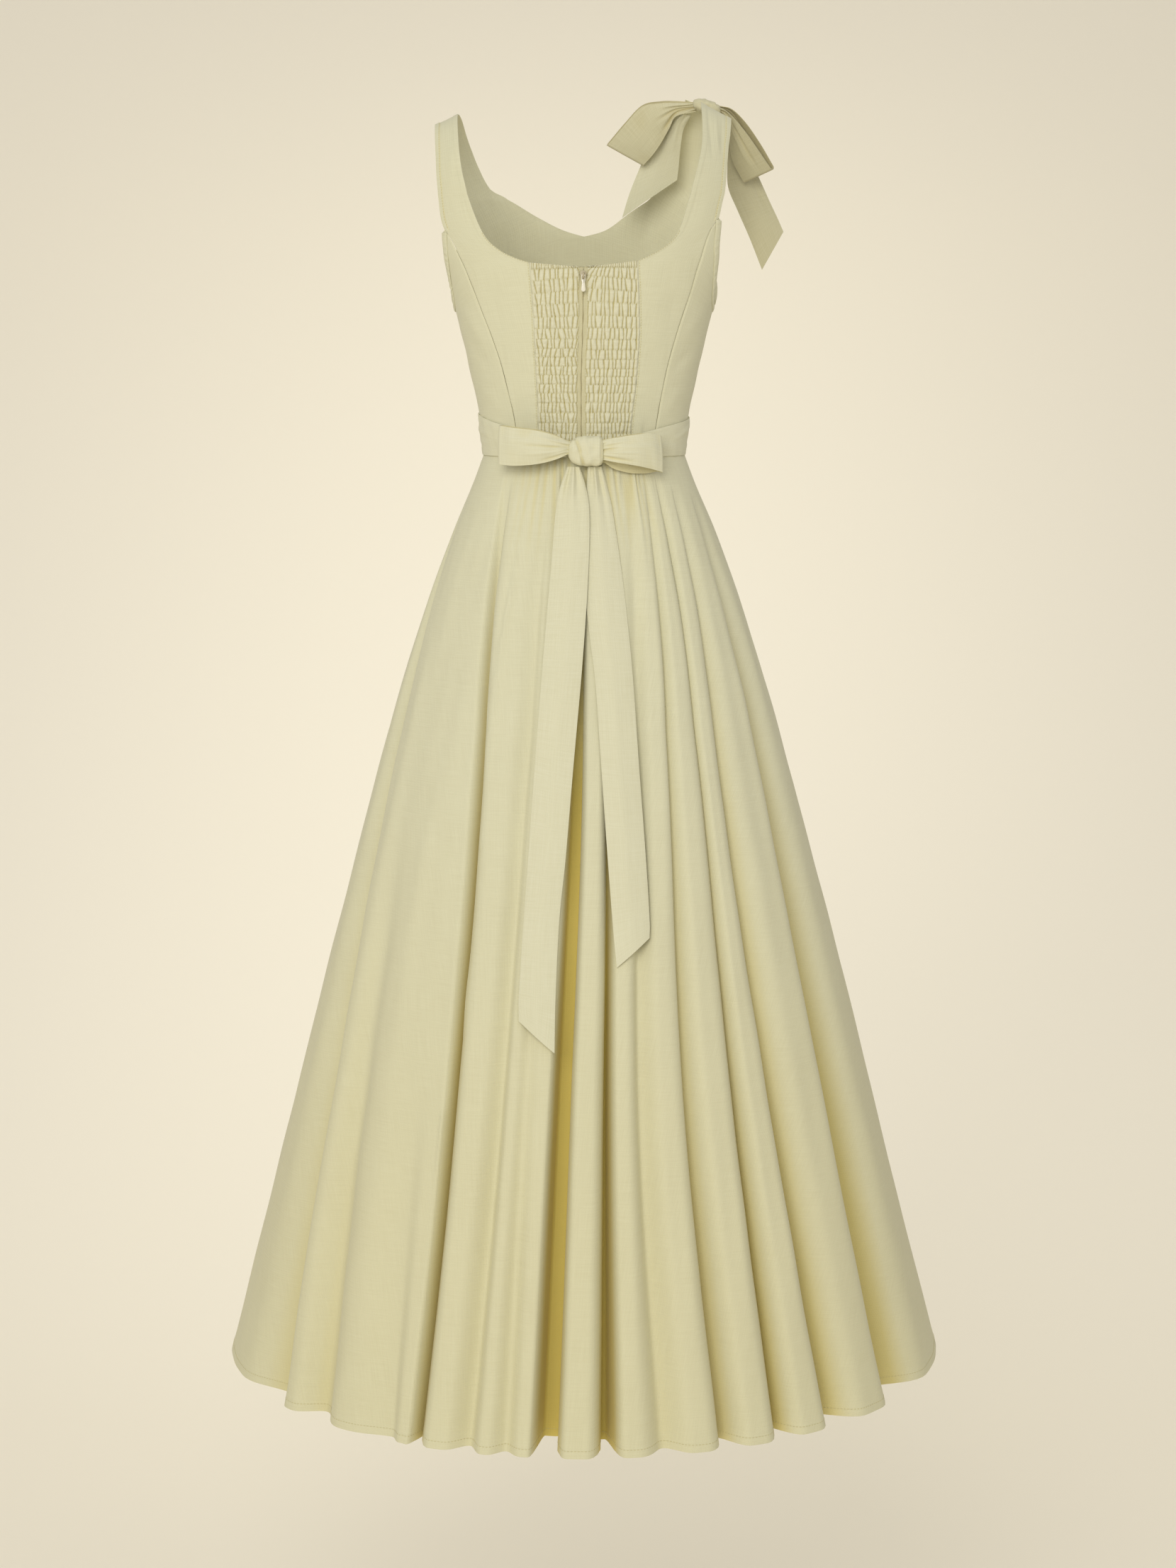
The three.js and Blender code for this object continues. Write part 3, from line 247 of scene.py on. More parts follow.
SHOULDER_LOOP_IN = table(LOOP_COLUMNS, [
    (127, 7, 4, 127, 9, -4, 3, 0, 0),
    (120.5, 9, 5, 120.5, 12, -5, 4, 0, 0),
    (104, 13, 6, 105, 18, -9, 8, 1, 0),
    (86, 17, 6, 98, 23, -21, 11, 2, 0),
    (66, 20, 2, 89, 28, -36, 12, 2, 0),
    (47, 24, -17, 79, 32, -50, 11, 1, 0),
    (28, 28, -39, 69, 36, -61, 8, 0, 0),
])
SHOULDER_LOOP_OUT = table(LOOP_COLUMNS, [
    (150, 1, 0, 150, 8, -4, 3, 0, 0),
    (156.2, 0, -1, 155.8, 9, -6, 4, 0, 0),
    (167, -1, -6, 163, 15, -13, 7, 1, 0),
    (181, -1, -21, 168, 20, -34, 10, 2, 0),
    (198, 0, -44, 172, 23, -57, 11, 2, 0),
    (213, 2, -67, 183, 26, -80, 8, 0, 0),
])
# Tails on the skirt, by their two edges and how far they stand off it, and tails that hang free.
WAIST_TAIL_LEFT = table("ax az bx bz off", [
    (-19, -401, -5, -401, 12),
    (-27, -425, 2, -423, 9),
    (-32, -455, 6, -452, 8),
    (-37, -515, 5, -513, 7),
    (-45, -607, -1, -607, 7),
    (-54, -722, -12, -730, 7),
    (-61, -820, -20, -822, 6),
    (-66, -890, -27, -890, 5),
    (-71, -968, -31, -972, 5),
    (-71, -996, -32, -1028, 5),
])
WAIST_TAIL_RIGHT = table("ax az bx bz off", [
    (4, -401, 20, -401, 8),
    (3, -421, 26, -423, 4),
    (1, -450, 32, -450, 3),
    (0, -520, 43, -524, 2.5),
    (6, -583, 50, -586, 2.5),
    (13, -640, 55, -641, 2.5),
    (19, -725, 61, -728, 2.5),
    (26, -822, 68, -822, 2.5),
    (32, -898, 72, -888, 2.5),
    (36, -939, 72, -909, 2.5),
])
SHOULDER_TAIL_IN = table("ax ay az bx by bz", [
    (105, 19, -5, 121.5, 18, -9),
    (90, 32, -18, 114, 29, -22),
    (74, 42, -44, 111, 35, -38),
    (62, 48, -70, 109.5, 40, -53),
    (52, 51, -95, 108.5, 44, -66),
    (44, 54, -121, 107, 47, -79),
])
SHOULDER_TAIL_OUT = table("ax ay az bx by bz", [
    (157, 19, -8, 162, 20, -6),
    (162, 30, -28, 174, 31, -20),
    (164, 34, -57, 187, 39, -48),
    (165, 34, -87, 202, 42, -79),
    (176, 32, -114, 213, 40, -103),
    (190, 31, -145, 222, 37, -122),
    (204.6, 31, -181, 229, 34, -138),
])

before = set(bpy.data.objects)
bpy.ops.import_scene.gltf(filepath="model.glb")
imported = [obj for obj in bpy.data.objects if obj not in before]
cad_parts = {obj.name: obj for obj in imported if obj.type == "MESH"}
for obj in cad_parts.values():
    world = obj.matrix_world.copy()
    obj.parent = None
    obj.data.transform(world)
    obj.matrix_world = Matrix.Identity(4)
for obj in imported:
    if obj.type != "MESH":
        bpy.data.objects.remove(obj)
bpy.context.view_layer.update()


# ---- Numbers ----
def lerp(a, b, share):
    """The value at a share of the way from a to b."""
    return a + (b - a) * share


def smooth(low, high, value):
    """0 below low and 1 above high, with a soft S between them."""
    share = np.clip((value - low) / (high - low), 0, 1)
    return share * share * (3 - 2 * share)


def curve(at, value):
    """A smooth curve through knots: cubic pieces whose slope at each knot is that of the line between
    its neighbours, held level past the ends."""
    order = np.argsort(at)
    at, value = np.asarray(at, float)[order], np.asarray(value, float)[order]
    last = len(at) - 1
    ahead = np.minimum(np.arange(last + 1) + 1, last)
    behind = np.maximum(np.arange(last + 1) - 1, 0)
    slope = (value[ahead] - value[behind]) / (at[ahead] - at[behind])

    def through(x):
        x = np.clip(x, at[0], at[-1])
        after = np.clip(np.searchsorted(at, x), 1, last)
        span = at[after] - at[after - 1]
        share = (x - at[after - 1]) / span
        rest = 1 - share
        return (
            value[after - 1] * (1 + 2 * share) * rest**2
            + value[after] * (1 + 2 * rest) * share**2
            + slope[after - 1] * span * share * rest**2
            - slope[after] * span * rest * share**2
        )

    return through


def ripple(u, v, length, seed, stretch=1.0):
    """A smooth uneven surface of about unit height: seven plane waves of about one length, in seeded
    directions and phases. A stretch over 1 draws them out along v."""
    rng = np.random.default_rng(seed)
    heading, phase = rng.uniform(0, 2 * np.pi, (2, 7))
    wave = 2 * np.pi / (length * rng.uniform(0.7, 1.4, 7))
    total = sum(
        np.sin(w * (u * np.cos(h) + v * np.sin(h) / stretch) + p)
        for h, p, w in zip(heading, phase, wave)
    )
    return total / 2.6


def creases(rows, u, v):
    """Soft troughs and ridges along short lines from (u0, v0) to (u1, v1): each has a bell-shaped
    profile of the given width and height across its line, and fades towards both its ends."""
    total = np.zeros(np.broadcast(u, v).shape)
    for u0, v0, u1, v1, width, height in rows:
        length = math.hypot(u1 - u0, v1 - v0)
        along = ((u - u0) * (u1 - u0) + (v - v0) * (v1 - v0)) / length**2
        across = ((u - u0) * (v1 - v0) - (v - v0) * (u1 - u0)) / length
        inside = np.clip(along, 0, 1)
        beyond = (along - inside) * length
        fade = 0.15 + 0.85 * np.sin(np.pi * inside) ** 0.7
        total += height * fade * np.exp(-(across**2 + beyond**2) / width**2)
    return total


# ---- The body's surface ----
body_half = curve(BODY["z"], BODY["half"])
body_back = curve(BODY["z"], BODY["back"])
body_front = curve(BODY["z"], BODY["front"])


def shoulder_top(x):
    """The height of the top of the shoulder, which falls evenly outwards."""
    return STRAP_TOP - SHOULDER_FALL * (np.abs(x) - STRAP_INNER)


def body_point(turn, level):
    """A point of the body: a rounded ring at each level, 0 behind and a quarter turn at the wearer's
    right. Above SHOULDER_BASE the level is a quarter circle over the shoulder that ends at 0."""
    arch = np.maximum(0, level - SHOULDER_BASE) / -SHOULDER_BASE * (np.pi / 2)
    z = np.minimum(level, SHOULDER_BASE)
    across, behind = np.sin(turn), np.cos(turn)
    x = body_half(z) * np.sign(across) * np.abs(across) ** (2 / ROUNDNESS)
    depth = np.where(behind > 0, body_back(z), body_front(z))
    y = -np.sign(behind) * depth * np.abs(behind) ** (2 / ROUNDNESS) * np.cos(arch)
    return np.stack([x, y, z + (shoulder_top(x) - SHOULDER_BASE) * np.sin(arch)], -1)


def unit(vectors):
    """Vectors divided by their lengths."""
    return vectors / np.maximum(np.linalg.norm(vectors, axis=-1, keepdims=True), 1e-9)


def body_normal(turn, level):
    """The way out of the body: the cross product of a short step round it and one up it."""
    across = body_point(turn + 0.002, level) - body_point(turn - 0.002, level)
    up = body_point(turn, level + 0.5) - body_point(turn, level - 0.5)
    return unit(np.cross(across, up))


def body_place(x, z, hand=0):
    """The turn and level of the body's point at an x and a height, behind the side line. A hand of 1
    or -1 gives the point in front of it, with turns that go on from that side of the back."""
    reach = np.minimum(1, np.abs(x) / body_half(z))
    turn = np.sign(x) * np.arcsin(reach ** (ROUNDNESS / 2))
    rise = np.clip((z - SHOULDER_BASE) / (shoulder_top(x) - SHOULDER_BASE), 0, 1)
    level = np.where(
        z <= SHOULDER_BASE,
        z,
        np.minimum(SHOULDER_SEAM, SHOULDER_BASE * (1 - np.arcsin(rise) / (np.pi / 2))),
    )
    return (hand * np.pi - turn if hand else turn), level


def off_body(turn, level, off):
    """Points that stand a distance off the body, along its way out."""
    return body_point(turn, level) + body_normal(turn, level) * np.asarray(off)[..., None]


# ---- Meshes ----
def srgb(code):
    """A colour written as sRGB hex, turned to linear, with full alpha."""
    parts = [int(code[i : i + 2], 16) / 255 for i in (1, 3, 5)]
    return [p / 12.92 if p <= 0.04045 else ((p + 0.055) / 1.055) ** 2.4 for p in parts] + [1.0]


def lengths_uv(points):
    """Cloth coordinates in metres: along a row from its middle, and up the middle column."""
    steps = np.linalg.norm(np.diff(points, axis=1), axis=-1)
    along = np.concatenate([np.zeros((len(points), 1)), np.cumsum(steps, axis=1)], axis=1)
    middle = points.shape[1] // 2
    rise = np.linalg.norm(np.diff(points[:, middle], axis=0), axis=-1)
    up = np.concatenate([[0], np.cumsum(rise)])[:, None] + np.zeros_like(along)
    return np.stack([along - along[:, middle : middle + 1], up], -1) * MM


def grid_faces(rows, columns, first=0):
    """The faces between neighbouring rows and columns of a grid, by the numbers of their corners."""
    index = first + np.arange(rows * columns).reshape(rows, columns)
    corners = [index[:-1, :-1], index[:-1, 1:], index[1:, 1:], index[1:, :-1]]
    return np.stack(corners, -1).reshape(-1, 4)


def mesh_piece(name, points, faces, material, uv=None, fold=None):
    """A smooth mesh of all the points and four-cornered faces, in metres, with sharp open edges, cloth
    coordinates and a fold attribute, the strength of the shade painted into its colour, 1 at most."""
    mesh = bpy.data.meshes.new(name)
    mesh.vertices.add(len(points))
    mesh.vertices.foreach_set("co", (points * MM).astype(np.float32).ravel())
    mesh.loops.add(faces.size)
    mesh.loops.foreach_set("vertex_index", faces.ravel().astype(np.int32))
    mesh.polygons.add(len(faces))
    width = faces.shape[1]
    mesh.polygons.foreach_set("loop_start", np.arange(0, faces.size, width, dtype=np.int32))
    mesh.polygons.foreach_set("use_smooth", np.ones(len(faces), bool))
    mesh.update(calc_edges=True)
    edge_of = np.empty(faces.size, np.int32)
    mesh.loops.foreach_get("edge_index", edge_of)
    border = np.bincount(edge_of, minlength=len(mesh.edges)) == 1
    mesh.edges.foreach_set("use_edge_sharp", border)
    if uv is not None:
        layer = mesh.uv_layers.new(name="cloth")
        layer.data.foreach_set("uv", uv[faces.ravel()].astype(np.float32).ravel())
    if fold is not None:
        depth = mesh.attributes.new("fold", "FLOAT", "POINT")
        depth.data.foreach_set("value", fold.astype(np.float32).ravel())
    mesh.materials.append(material)
    piece = bpy.data.objects.new(name, mesh)
    bpy.context.scene.collection.objects.link(piece)
    return piece


def wear(piece, *nodes, body="dress", slot="linen"):
    """Puts a piece on a body, in the place of the nodes it stands for."""
    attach(piece, body)
    if nodes:
        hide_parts(*nodes)
    return piece


def shell(name, grids, material, *nodes, thickness=SHELL, fold=None, flip=None):
    """Cloth made of one or more grids of points, each a list of rows, joined where their edges meet
    and given a thickness inwards from the surface. Unless told whether to flip, each grid's faces
    are turned to look away from the body's axis."""
    points, faces, uvs, first = [], [], [], 0
    for grid in grids:
        rows, columns = grid.shape[:2]
        quads = grid_faces(rows, columns, first)
        flat = grid.reshape(-1, 3)
        turned = flip
        if flip is None:
            a, b, d = (flat[quads[:, k] - first] for k in (0, 1, 3))
            normal = np.cross(b - a, d - a)
            axis = np.concatenate([a[:, :2], np.zeros((len(a), 1))], axis=1)
            turned = (normal * axis).sum() < 0
        if turned:
            quads = quads[:, ::-1]
        points.append(flat)
        faces.append(quads)
        uvs.append(lengths_uv(grid).reshape(-1, 2))
        first += len(flat)
    piece = mesh_piece(
        name, np.concatenate(points), np.concatenate(faces), material, np.concatenate(uvs), fold
    )
    if len(grids) > 1:
        weld = piece.modifiers.new("joined edges", "WELD")
        weld.merge_threshold = 0.05 * MM
    wall = piece.modifiers.new("thickness", "SOLIDIFY")
    wall.thickness = thickness * MM
    wall.offset = -1
    return wear(piece, *nodes)


# ---- Materials ----
def new_material(name):
    """An empty finish: the material, its tree of nodes and its shader."""
    material = bpy.data.materials.new(name)
    material.use_nodes = True
    return material, material.node_tree, material.node_tree.nodes["Principled BSDF"]


def node(tree, kind, links=None, **settings):
    """Adds a shader node, sets its properties or its sockets' values, and links its inputs."""
    made = tree.nodes.new(kind)
    for key, value in settings.items():
        if hasattr(made, key):
            setattr(made, key, value)
        else:
            made.inputs[key.replace("_", " ")].default_value = value
    for key, source in (links or {}).items():
        tree.links.new(source, made.inputs[key])
    return made


def linen(name, light, dark, shade_colour, thread=1.3, bump=0.25):
    """Plain-woven linen, washed and pressed. Real threads lie 0.5 mm apart; they are drawn a little
    over a millimetre apart so that they show. Uneven spun yarn leaves slubs, thicker stretches of
    thread that catch more light, along both ways of the weave. Matt, with a faint dry sheen. Painted
    shade: as far as the fold attribute says, the colour is mixed towards a darker, warmer one."""
    material, tree, shader = new_material(name)
    uv = node(tree, "ShaderNodeUVMap", uv_map="cloth").outputs["UV"]
    slubs = []
    for across, along in ((900.0, 22.0), (30.0, 1000.0)):
        stretched = node(tree, "ShaderNodeMapping", {"Vector": uv}, Scale=(across, along, 1.0))
        noise = node(tree, "ShaderNodeTexNoise", {"Vector": stretched.outputs[0]}, Scale=1.0, Detail=2.0)
        slubs.append(noise.outputs["Fac"])
    both = node(tree, "ShaderNodeMath", {0: slubs[0], 1: slubs[1]}, operation="ADD").outputs[0]
    waves = []
    for turned in (0.0, math.pi / 2):
        lined = node(tree, "ShaderNodeMapping", {"Vector": uv}, Rotation=(0.0, 0.0, turned))
        wave = node(
            tree,
            "ShaderNodeTexWave",
            {"Vector": lined.outputs[0]},
            Scale=1 / (thread * MM) / 20 * math.pi,
            Distortion=0.6,
            Detail=1.0,
        )
        waves.append(wave.outputs["Fac"])
    weave = node(tree, "ShaderNodeMath", {0: waves[0], 1: waves[1]}, operation="MAXIMUM").outputs[0]
    cloud = node(tree, "ShaderNodeTexNoise", {"Vector": uv}, Scale=9.0, Detail=3.0).outputs["Fac"]
    tone = node(tree, "ShaderNodeMapRange", {"Value": both}, From_Min=0.7, From_Max=1.3).outputs[0]
    body = node(tree, "ShaderNodeMix", {0: tone}, data_type="RGBA")
    body.inputs["A"].default_value = srgb(dark)
    body.inputs["B"].default_value = srgb(light)
    clouded = node(tree, "ShaderNodeMapRange", {"Value": cloud}, From_Min=0.3, From_Max=0.7, To_Max=0.35)
    mixed = {0: clouded.outputs[0], "A": body.outputs["Result"]}
    worn = node(tree, "ShaderNodeMix", mixed, data_type="RGBA")
    worn.inputs["B"].default_value = srgb(light)
    # Painted shade: the fold attribute mixes the colour towards the shade colour.
    fold = node(tree, "ShaderNodeAttribute", attribute_name="fold").outputs["Fac"]
    shaded_colour = node(tree, "ShaderNodeMix", {0: fold, "A": worn.outputs["Result"]}, data_type="RGBA")
    shaded_colour.inputs["B"].default_value = srgb(shade_colour)
    tree.links.new(shaded_colour.outputs["Result"], shader.inputs["Base Color"])
    height = node(tree, "ShaderNodeMath", {0: weave, 1: both}, operation="ADD").outputs[0]
    relief = node(tree, "ShaderNodeBump", {"Height": height}, Strength=bump, Distance=0.0004)
    tree.links.new(relief.outputs["Normal"], shader.inputs["Normal"])
    shader.inputs["Roughness"].default_value = 0.88
    shader.inputs["Specular IOR Level"].default_value = 0.25
    shader.inputs["Sheen Weight"].default_value = 0.12
    shader.inputs["Sheen Roughness"].default_value = 0.5
    return material


def plain(name, colour, roughness, metallic=0.0, coat=0.0, grain=0.0, grain_scale=900.0):
    """A plain finish with a fine uneven grain in its roughness and its surface."""
    material, tree, shader = new_material(name)
    place = node(tree, "ShaderNodeTexCoord").outputs["Object"]
    grained = node(tree, "ShaderNodeTexNoise", {"Vector": place}, Scale=grain_scale, Detail=3.0)
    noise = grained.outputs["Fac"]
    shade = node(tree, "ShaderNodeMix", {0: noise}, data_type="RGBA")
    shade.inputs["A"].default_value = srgb(colour)
    shade.inputs["B"].default_value = [c * 0.88 for c in srgb(colour)[:3]] + [1.0]
    tree.links.new(shade.outputs["Result"], shader.inputs["Base Color"])
    rough = node(
        tree, "ShaderNodeMapRange", {"Value": noise}, To_Min=roughness - 0.06, To_Max=roughness + 0.06
    )
    tree.links.new(rough.outputs[0], shader.inputs["Roughness"])
    relief = node(tree, "ShaderNodeBump", {"Height": noise}, Strength=grain, Distance=0.0002)
    tree.links.new(relief.outputs["Normal"], shader.inputs["Normal"])
    shader.inputs["Metallic"].default_value = metallic
    shader.inputs["Coat Weight"].default_value = coat
    return material


# Each linen's last colour is painted shade, which the fold attribute mixes in.
LINEN = linen("butter linen", "#d9d5b4", "#d1ccaa", "#cdbb66", bump=0.2)
# The same linen painted a little paler for the front bodice: painted light, since the front's inside
# lies in the body's shade.
LIGHTER_FRONT_LINEN = linen("front linen painted lighter", "#e0dcbb", "#d8d3b1", "#cdbb66", bump=0.2)
SMOCKED = linen("smocked linen", "#ddd9bb", "#d2ccac", "#ada05f", thread=1.1)
RIBBON = linen("ribbon linen", "#dbd7b8", "#d3ceac", "#cdbb6a", bump=0.2)
# The shoulder tie's linen: the ribbon's linen painted darker and more olive, as painted shade on its
# inner loop and knot.
SHADED_BOW_LINEN = linen("bow linen in painted shade", "#d0caa8", "#c5be99", "#b7a45f", bump=0.2)
# The shoulder tie's linen painted darker still and browner, as painted shade on its outer loop and tail.
DEEPER_SHADED_BOW_LINEN = linen("bow linen in deeper painted shade", "#c2bb98", "#b8b18c", "#a9985b", bump=0.2)
# Cotton-wrapped sewing thread, dyed to match: matt, a little darker than the cloth it sinks into.
THREAD = plain("matching thread", "#cfc593", 0.8)
# Woven polyester tape and a moulded polyester coil, dyed to match: smoother and glossier than linen.
TAPE = plain("zip tape", "#c3b583", 0.75, grain=0.4)
COIL = plain("zip coil", "#c9bd90", 0.45)
# Zinc alloy with a baked cream enamel: a smooth, faintly orange-peeled gloss.
ENAMEL = plain("cream enamel", "#ece5cf", 0.3, coat=0.4, grain=0.1, grain_scale=400.0)
# The slider's enamel is painted browner and darker than the pull's, as painted shade, and made rougher
# and less glossy.
SHADED_SLIDER_ENAMEL = plain("slider enamel in painted shade", "#b3a683", 0.45, coat=0.2, grain=0.2, grain_scale=500.0)


# ---- Bodice ----
def panel_edges(rows, samples):
    """The turns and levels of a back panel's inner and outer edges at evenly spaced row numbers. The
    inner edge has a corner where it meets the neckline."""
    at = np.linspace(0, len(rows["in_x"]) - 1, samples)
    inner = body_place(rows["in_x"], rows["in_z"])
    outer = body_place(rows["out_x"], rows["out_z"])
    number = np.arange(len(rows["in_x"]))
    edges = []
    for column in inner:
        below = curve(number[: NECK_CORNER + 1], column[: NECK_CORNER + 1])(at)
        above = curve(number[NECK_CORNER:], column[NECK_CORNER:])(at)
        edges.append(np.where(at < NECK_CORNER, below, above))
    return edges + [curve(number, column)(at) for column in outer]


def between_edges(edges, columns, seam_in=1.0, seam_out=1.0):
    """Grids of turn and level between two edges, short of each seam by half its gap."""
    in_turn, in_level, out_turn, out_level = (edge[:, None] for edge in edges)
    way = np.sign(out_turn.mean() - in_turn.mean())
    share = np.linspace(0, 1, columns)[None, :]
    turn = lerp(in_turn + way * SEAM_TURN * seam_in, out_turn - way * SEAM_TURN * seam_out, share)
    return turn, lerp(in_level, out_level, share)


def edge_distance(points, from_last):
    """How far each point of a grid lies from its first or last column, in millimetres."""
    steps = np.linalg.norm(np.diff(points, axis=1), axis=-1)
    along = np.concatenate([np.zeros((len(points), 1)), np.cumsum(steps, axis=1)], axis=1)
    return along[:, -1:] - along if from_last else along


def seam_roll(distance, width=1.5, depth=0.7):
    """The dip of cloth that turns in at a seam: it falls by depth over the last width of cloth."""
    return -depth * (1 - smooth(0, width, distance)) ** 1.5


def ways_out(points):
    """The way out of the cloth at each point of a grid: the cross product of the ways across and up
    it, turned to point away from the body's axis."""
    normals = unit(np.cross(np.gradient(points, axis=1), np.gradient(points, axis=0)))
    return -normals if (normals[..., :2] * points[..., :2]).sum() < 0 else normals


def edge_line(points, distance, inset):
    """The line that lies one distance in from a grid's edge, and the way out of the cloth along it."""
    normals = ways_out(points)
    ascending = distance[0, -1] > distance[0, 0]
    path, out = [], []
    for far, line, normal in zip(distance, points, normals):
        if not ascending:
            far, line, normal = far[::-1], line[::-1], normal[::-1]
        path.append([np.interp(inset, far, line[:, k]) for k in range(3)])
        out.append([np.interp(inset, far, normal[:, k]) for k in range(3)])
    return np.array(path), unit(np.array(out))


def stitches(name, lines, length=2.3, pitch=3.0, width=0.3):
    """Machine stitches along lines: each is a short thread with a square section that sinks into the
    cloth at both its ends. Real ones are 0.3 mm thick, and they are drawn at twice that."""
    points, faces, first = [], [], 0
    for path, out in lines:
        steps = np.linalg.norm(np.diff(path, axis=0), axis=-1)
        arc = np.concatenate([[0], np.cumsum(steps)])
        count = int((arc[-1] - length) / pitch)
        if count < 1:
            continue
        stations = pitch * (0.5 + np.arange(count))[:, None] + length * np.array([0, 0.25, 0.75, 1])
        centre = np.stack([np.interp(stations, arc, path[:, k]) for k in range(3)], -1)
        away = unit(np.stack([np.interp(stations, arc, out[:, k]) for k in range(3)], -1))
        along = unit(centre[:, -1:] - centre[:, :1]) + 0 * away
        side = unit(np.cross(along, away))
        lift = np.array([-0.15, 0.18, 0.18, -0.15])[:, None]
        thick = width * np.array([0.5, 1, 1, 0.5])[:, None, None]
        corner = np.radians(45 + 90 * np.arange(4))
        ring = side[:, :, None] * np.cos(corner)[:, None] + away[:, :, None] * np.sin(corner)[:, None]
        made = (centre + away * lift)[:, :, None] + ring * thick
        index = np.arange(16).reshape(4, 4)
        turned = np.roll(index, -1, 1)
        walls = np.stack([index[:-1], turned[:-1], turned[1:], index[1:]], -1).reshape(-1, 4)
        ends = np.array([index[0][::-1], index[-1]])
        quads = np.concatenate([walls, ends])[None] + 16 * np.arange(count)[:, None, None] + first
        points.append(made.reshape(-1, 3))
        faces.append(quads.reshape(-1, 4))
        first += 16 * count
    return wear(mesh_piece(name, np.concatenate(points), np.concatenate(faces), THREAD))


def turned_edges(inner, outer, neckline, armhole):
    """How far the turned edges of a panel stand out: 0.35 mm along a neckline, whose facing ends
    softly, and 0.55 mm along an armhole. The last two numbers are 1 where the panel has that edge."""
    neck = 0.35 * (1 - smooth(5.5, 7.0, inner)) * neckline
    return neck + 0.55 * (1 - smooth(TURNED - 0.5, TURNED + 0.5, outer)) * armhole


def back_panel(name, rows, puckers, samples=200, columns=48):
    """A back panel with its strap: turn and level run evenly from its inner to its outer edge, and the
    cloth stands off the body by rolls at the seams, turned edges, creases and ripples. Its armhole is
    topstitched in a groove, the rows of the smocking tug at its inner seam, and the right strap's end
    climbs over the knot. Returns the lines of stitches on its armhole and its inner seam."""
    turn, level = between_edges(panel_edges(rows, samples), columns, seam_out=PRINCESS_GAP)
    flat = off_body(turn, level, np.zeros_like(turn))
    inner = edge_distance(flat, from_last=False)
    outer = edge_distance(flat, from_last=True)
    row = np.linspace(0, TOP_ROW, samples)[:, None]
    smocked = 1 - smooth(NECK_CORNER - 0.2, NECK_CORNER + 0.2, row)
    princess = 1 - smooth(ARMHOLE_ROW - 0.4, ARMHOLE_ROW + 0.1, row)
    off = seam_roll(inner, 1.0, 0.3) * smocked + seam_roll(outer, 1.4, 1.0) * princess
    off += turned_edges(inner, outer, 1 - smocked, 1 - princess)
    x, z = flat[..., 0], flat[..., 2]
    tugs = np.sin(2 * np.pi * (z - BODICE_END) / SMOCK_SPACING) * np.exp(-inner / 5) * smocked
    off += 0.35 * tugs + creases(puckers, x, z) + 0.18 * ripple(x, z, 34, 5)
    groove = np.exp(-(((outer - STITCHED - 0.6) / 0.8) ** 2)) * (1 - princess)
    points = off_body(turn, level, off - 0.6 * groove)
    tied = "right" in name
    if tied:
        share = np.linspace(0, 1, columns)[None, :, None]
        over_knot = lerp(np.array([-2.0, -4.0, 10.0]), np.array([1.0, -3.0, 6.5]), share)
        points = points + over_knot * smooth(TOP_ROW - 1.6, TOP_ROW, row)[..., None]
    # Painted shade: the fold attribute paints the topstitched groove darker and more golden.
    piece = shell(name, [points], LINEN, name, fold=0.22 * groove)
    strap = row[:, 0] > ARMHOLE_ROW
    armhole_line = edge_line(points[strap], outer[strap], STITCHED)
    return armhole_line, edge_line(points[~strap], inner[~strap], 1.2)


def side_back(name, back_rows, side_rows, puckers, samples=120, columns=48):
    """A side back panel, from the princess seam to the side seam or the armhole: turn and level run
    evenly between its edges, and the cloth rolls in at both seams, with creases and ripples."""
    at = np.linspace(0, ARMHOLE_ROW, samples)
    inner_edge = body_place(back_rows["out_x"], back_rows["out_z"])
    outer_edge = body_place(side_rows["out_x"], side_rows["out_z"])
    edges = [curve(np.arange(len(column)), column)(at) for column in (*inner_edge, *outer_edge)]
    turn, level = between_edges(edges, columns, seam_in=PRINCESS_GAP)
    flat = off_body(turn, level, np.zeros_like(turn))
    inner = edge_distance(flat, from_last=False)
    outer = edge_distance(flat, from_last=True)
    side_seam = 1 - smooth(SIDE_SEAM_ROW, SIDE_SEAM_ROW + 0.4, at[:, None])
    off = seam_roll(inner, 1.4, 1.0) + seam_roll(outer) * side_seam
    x, z = flat[..., 0], flat[..., 2]
    off += creases(puckers, x, z) + 0.2 * ripple(turn * 90, z, 38, 8)
    points = off_body(turn, level, off)
    piece = shell(name, [points], LINEN, name)


def front_edges(hand, at, split):
    """The turns and levels of the inner and outer edges of one half of the front. Each is a smooth
    curve up to the row where the neckline starts, and another above it."""
    tied = hand > 0
    pull = FRONT["pull"] if tied else 0
    in_x, out_x = hand * FRONT["in_x"] - pull, hand * FRONT["out_x"] - pull / 2
    in_z = FRONT["in_z"] + (FRONT["lift"] if tied else 0)
    out_z = FRONT["out_z"].copy()
    if tied:
        in_z[-1] = shoulder_top(in_x[-1]) - KNOT_ROOM
        out_z[-1] = shoulder_top(out_x[-1]) - KNOT_ROOM
    in_x = np.where(FRONT["in_x"] == 0, hand * 1e-9, in_x)
    number = np.arange(len(in_x))
    lower, upper = number[: FRONT_SPLIT + 1], number[FRONT_SPLIT:]
    edges = []
    for column in (*body_place(in_x, in_z, hand), *body_place(out_x, out_z, hand)):
        below = curve(lower, column[lower])(at[: split + 1])
        above = curve(upper, column[upper])(at[split + 1 :])
        edges.append(np.concatenate([below, above]))
    edges[0][: split + 1] = hand * np.pi
    return edges


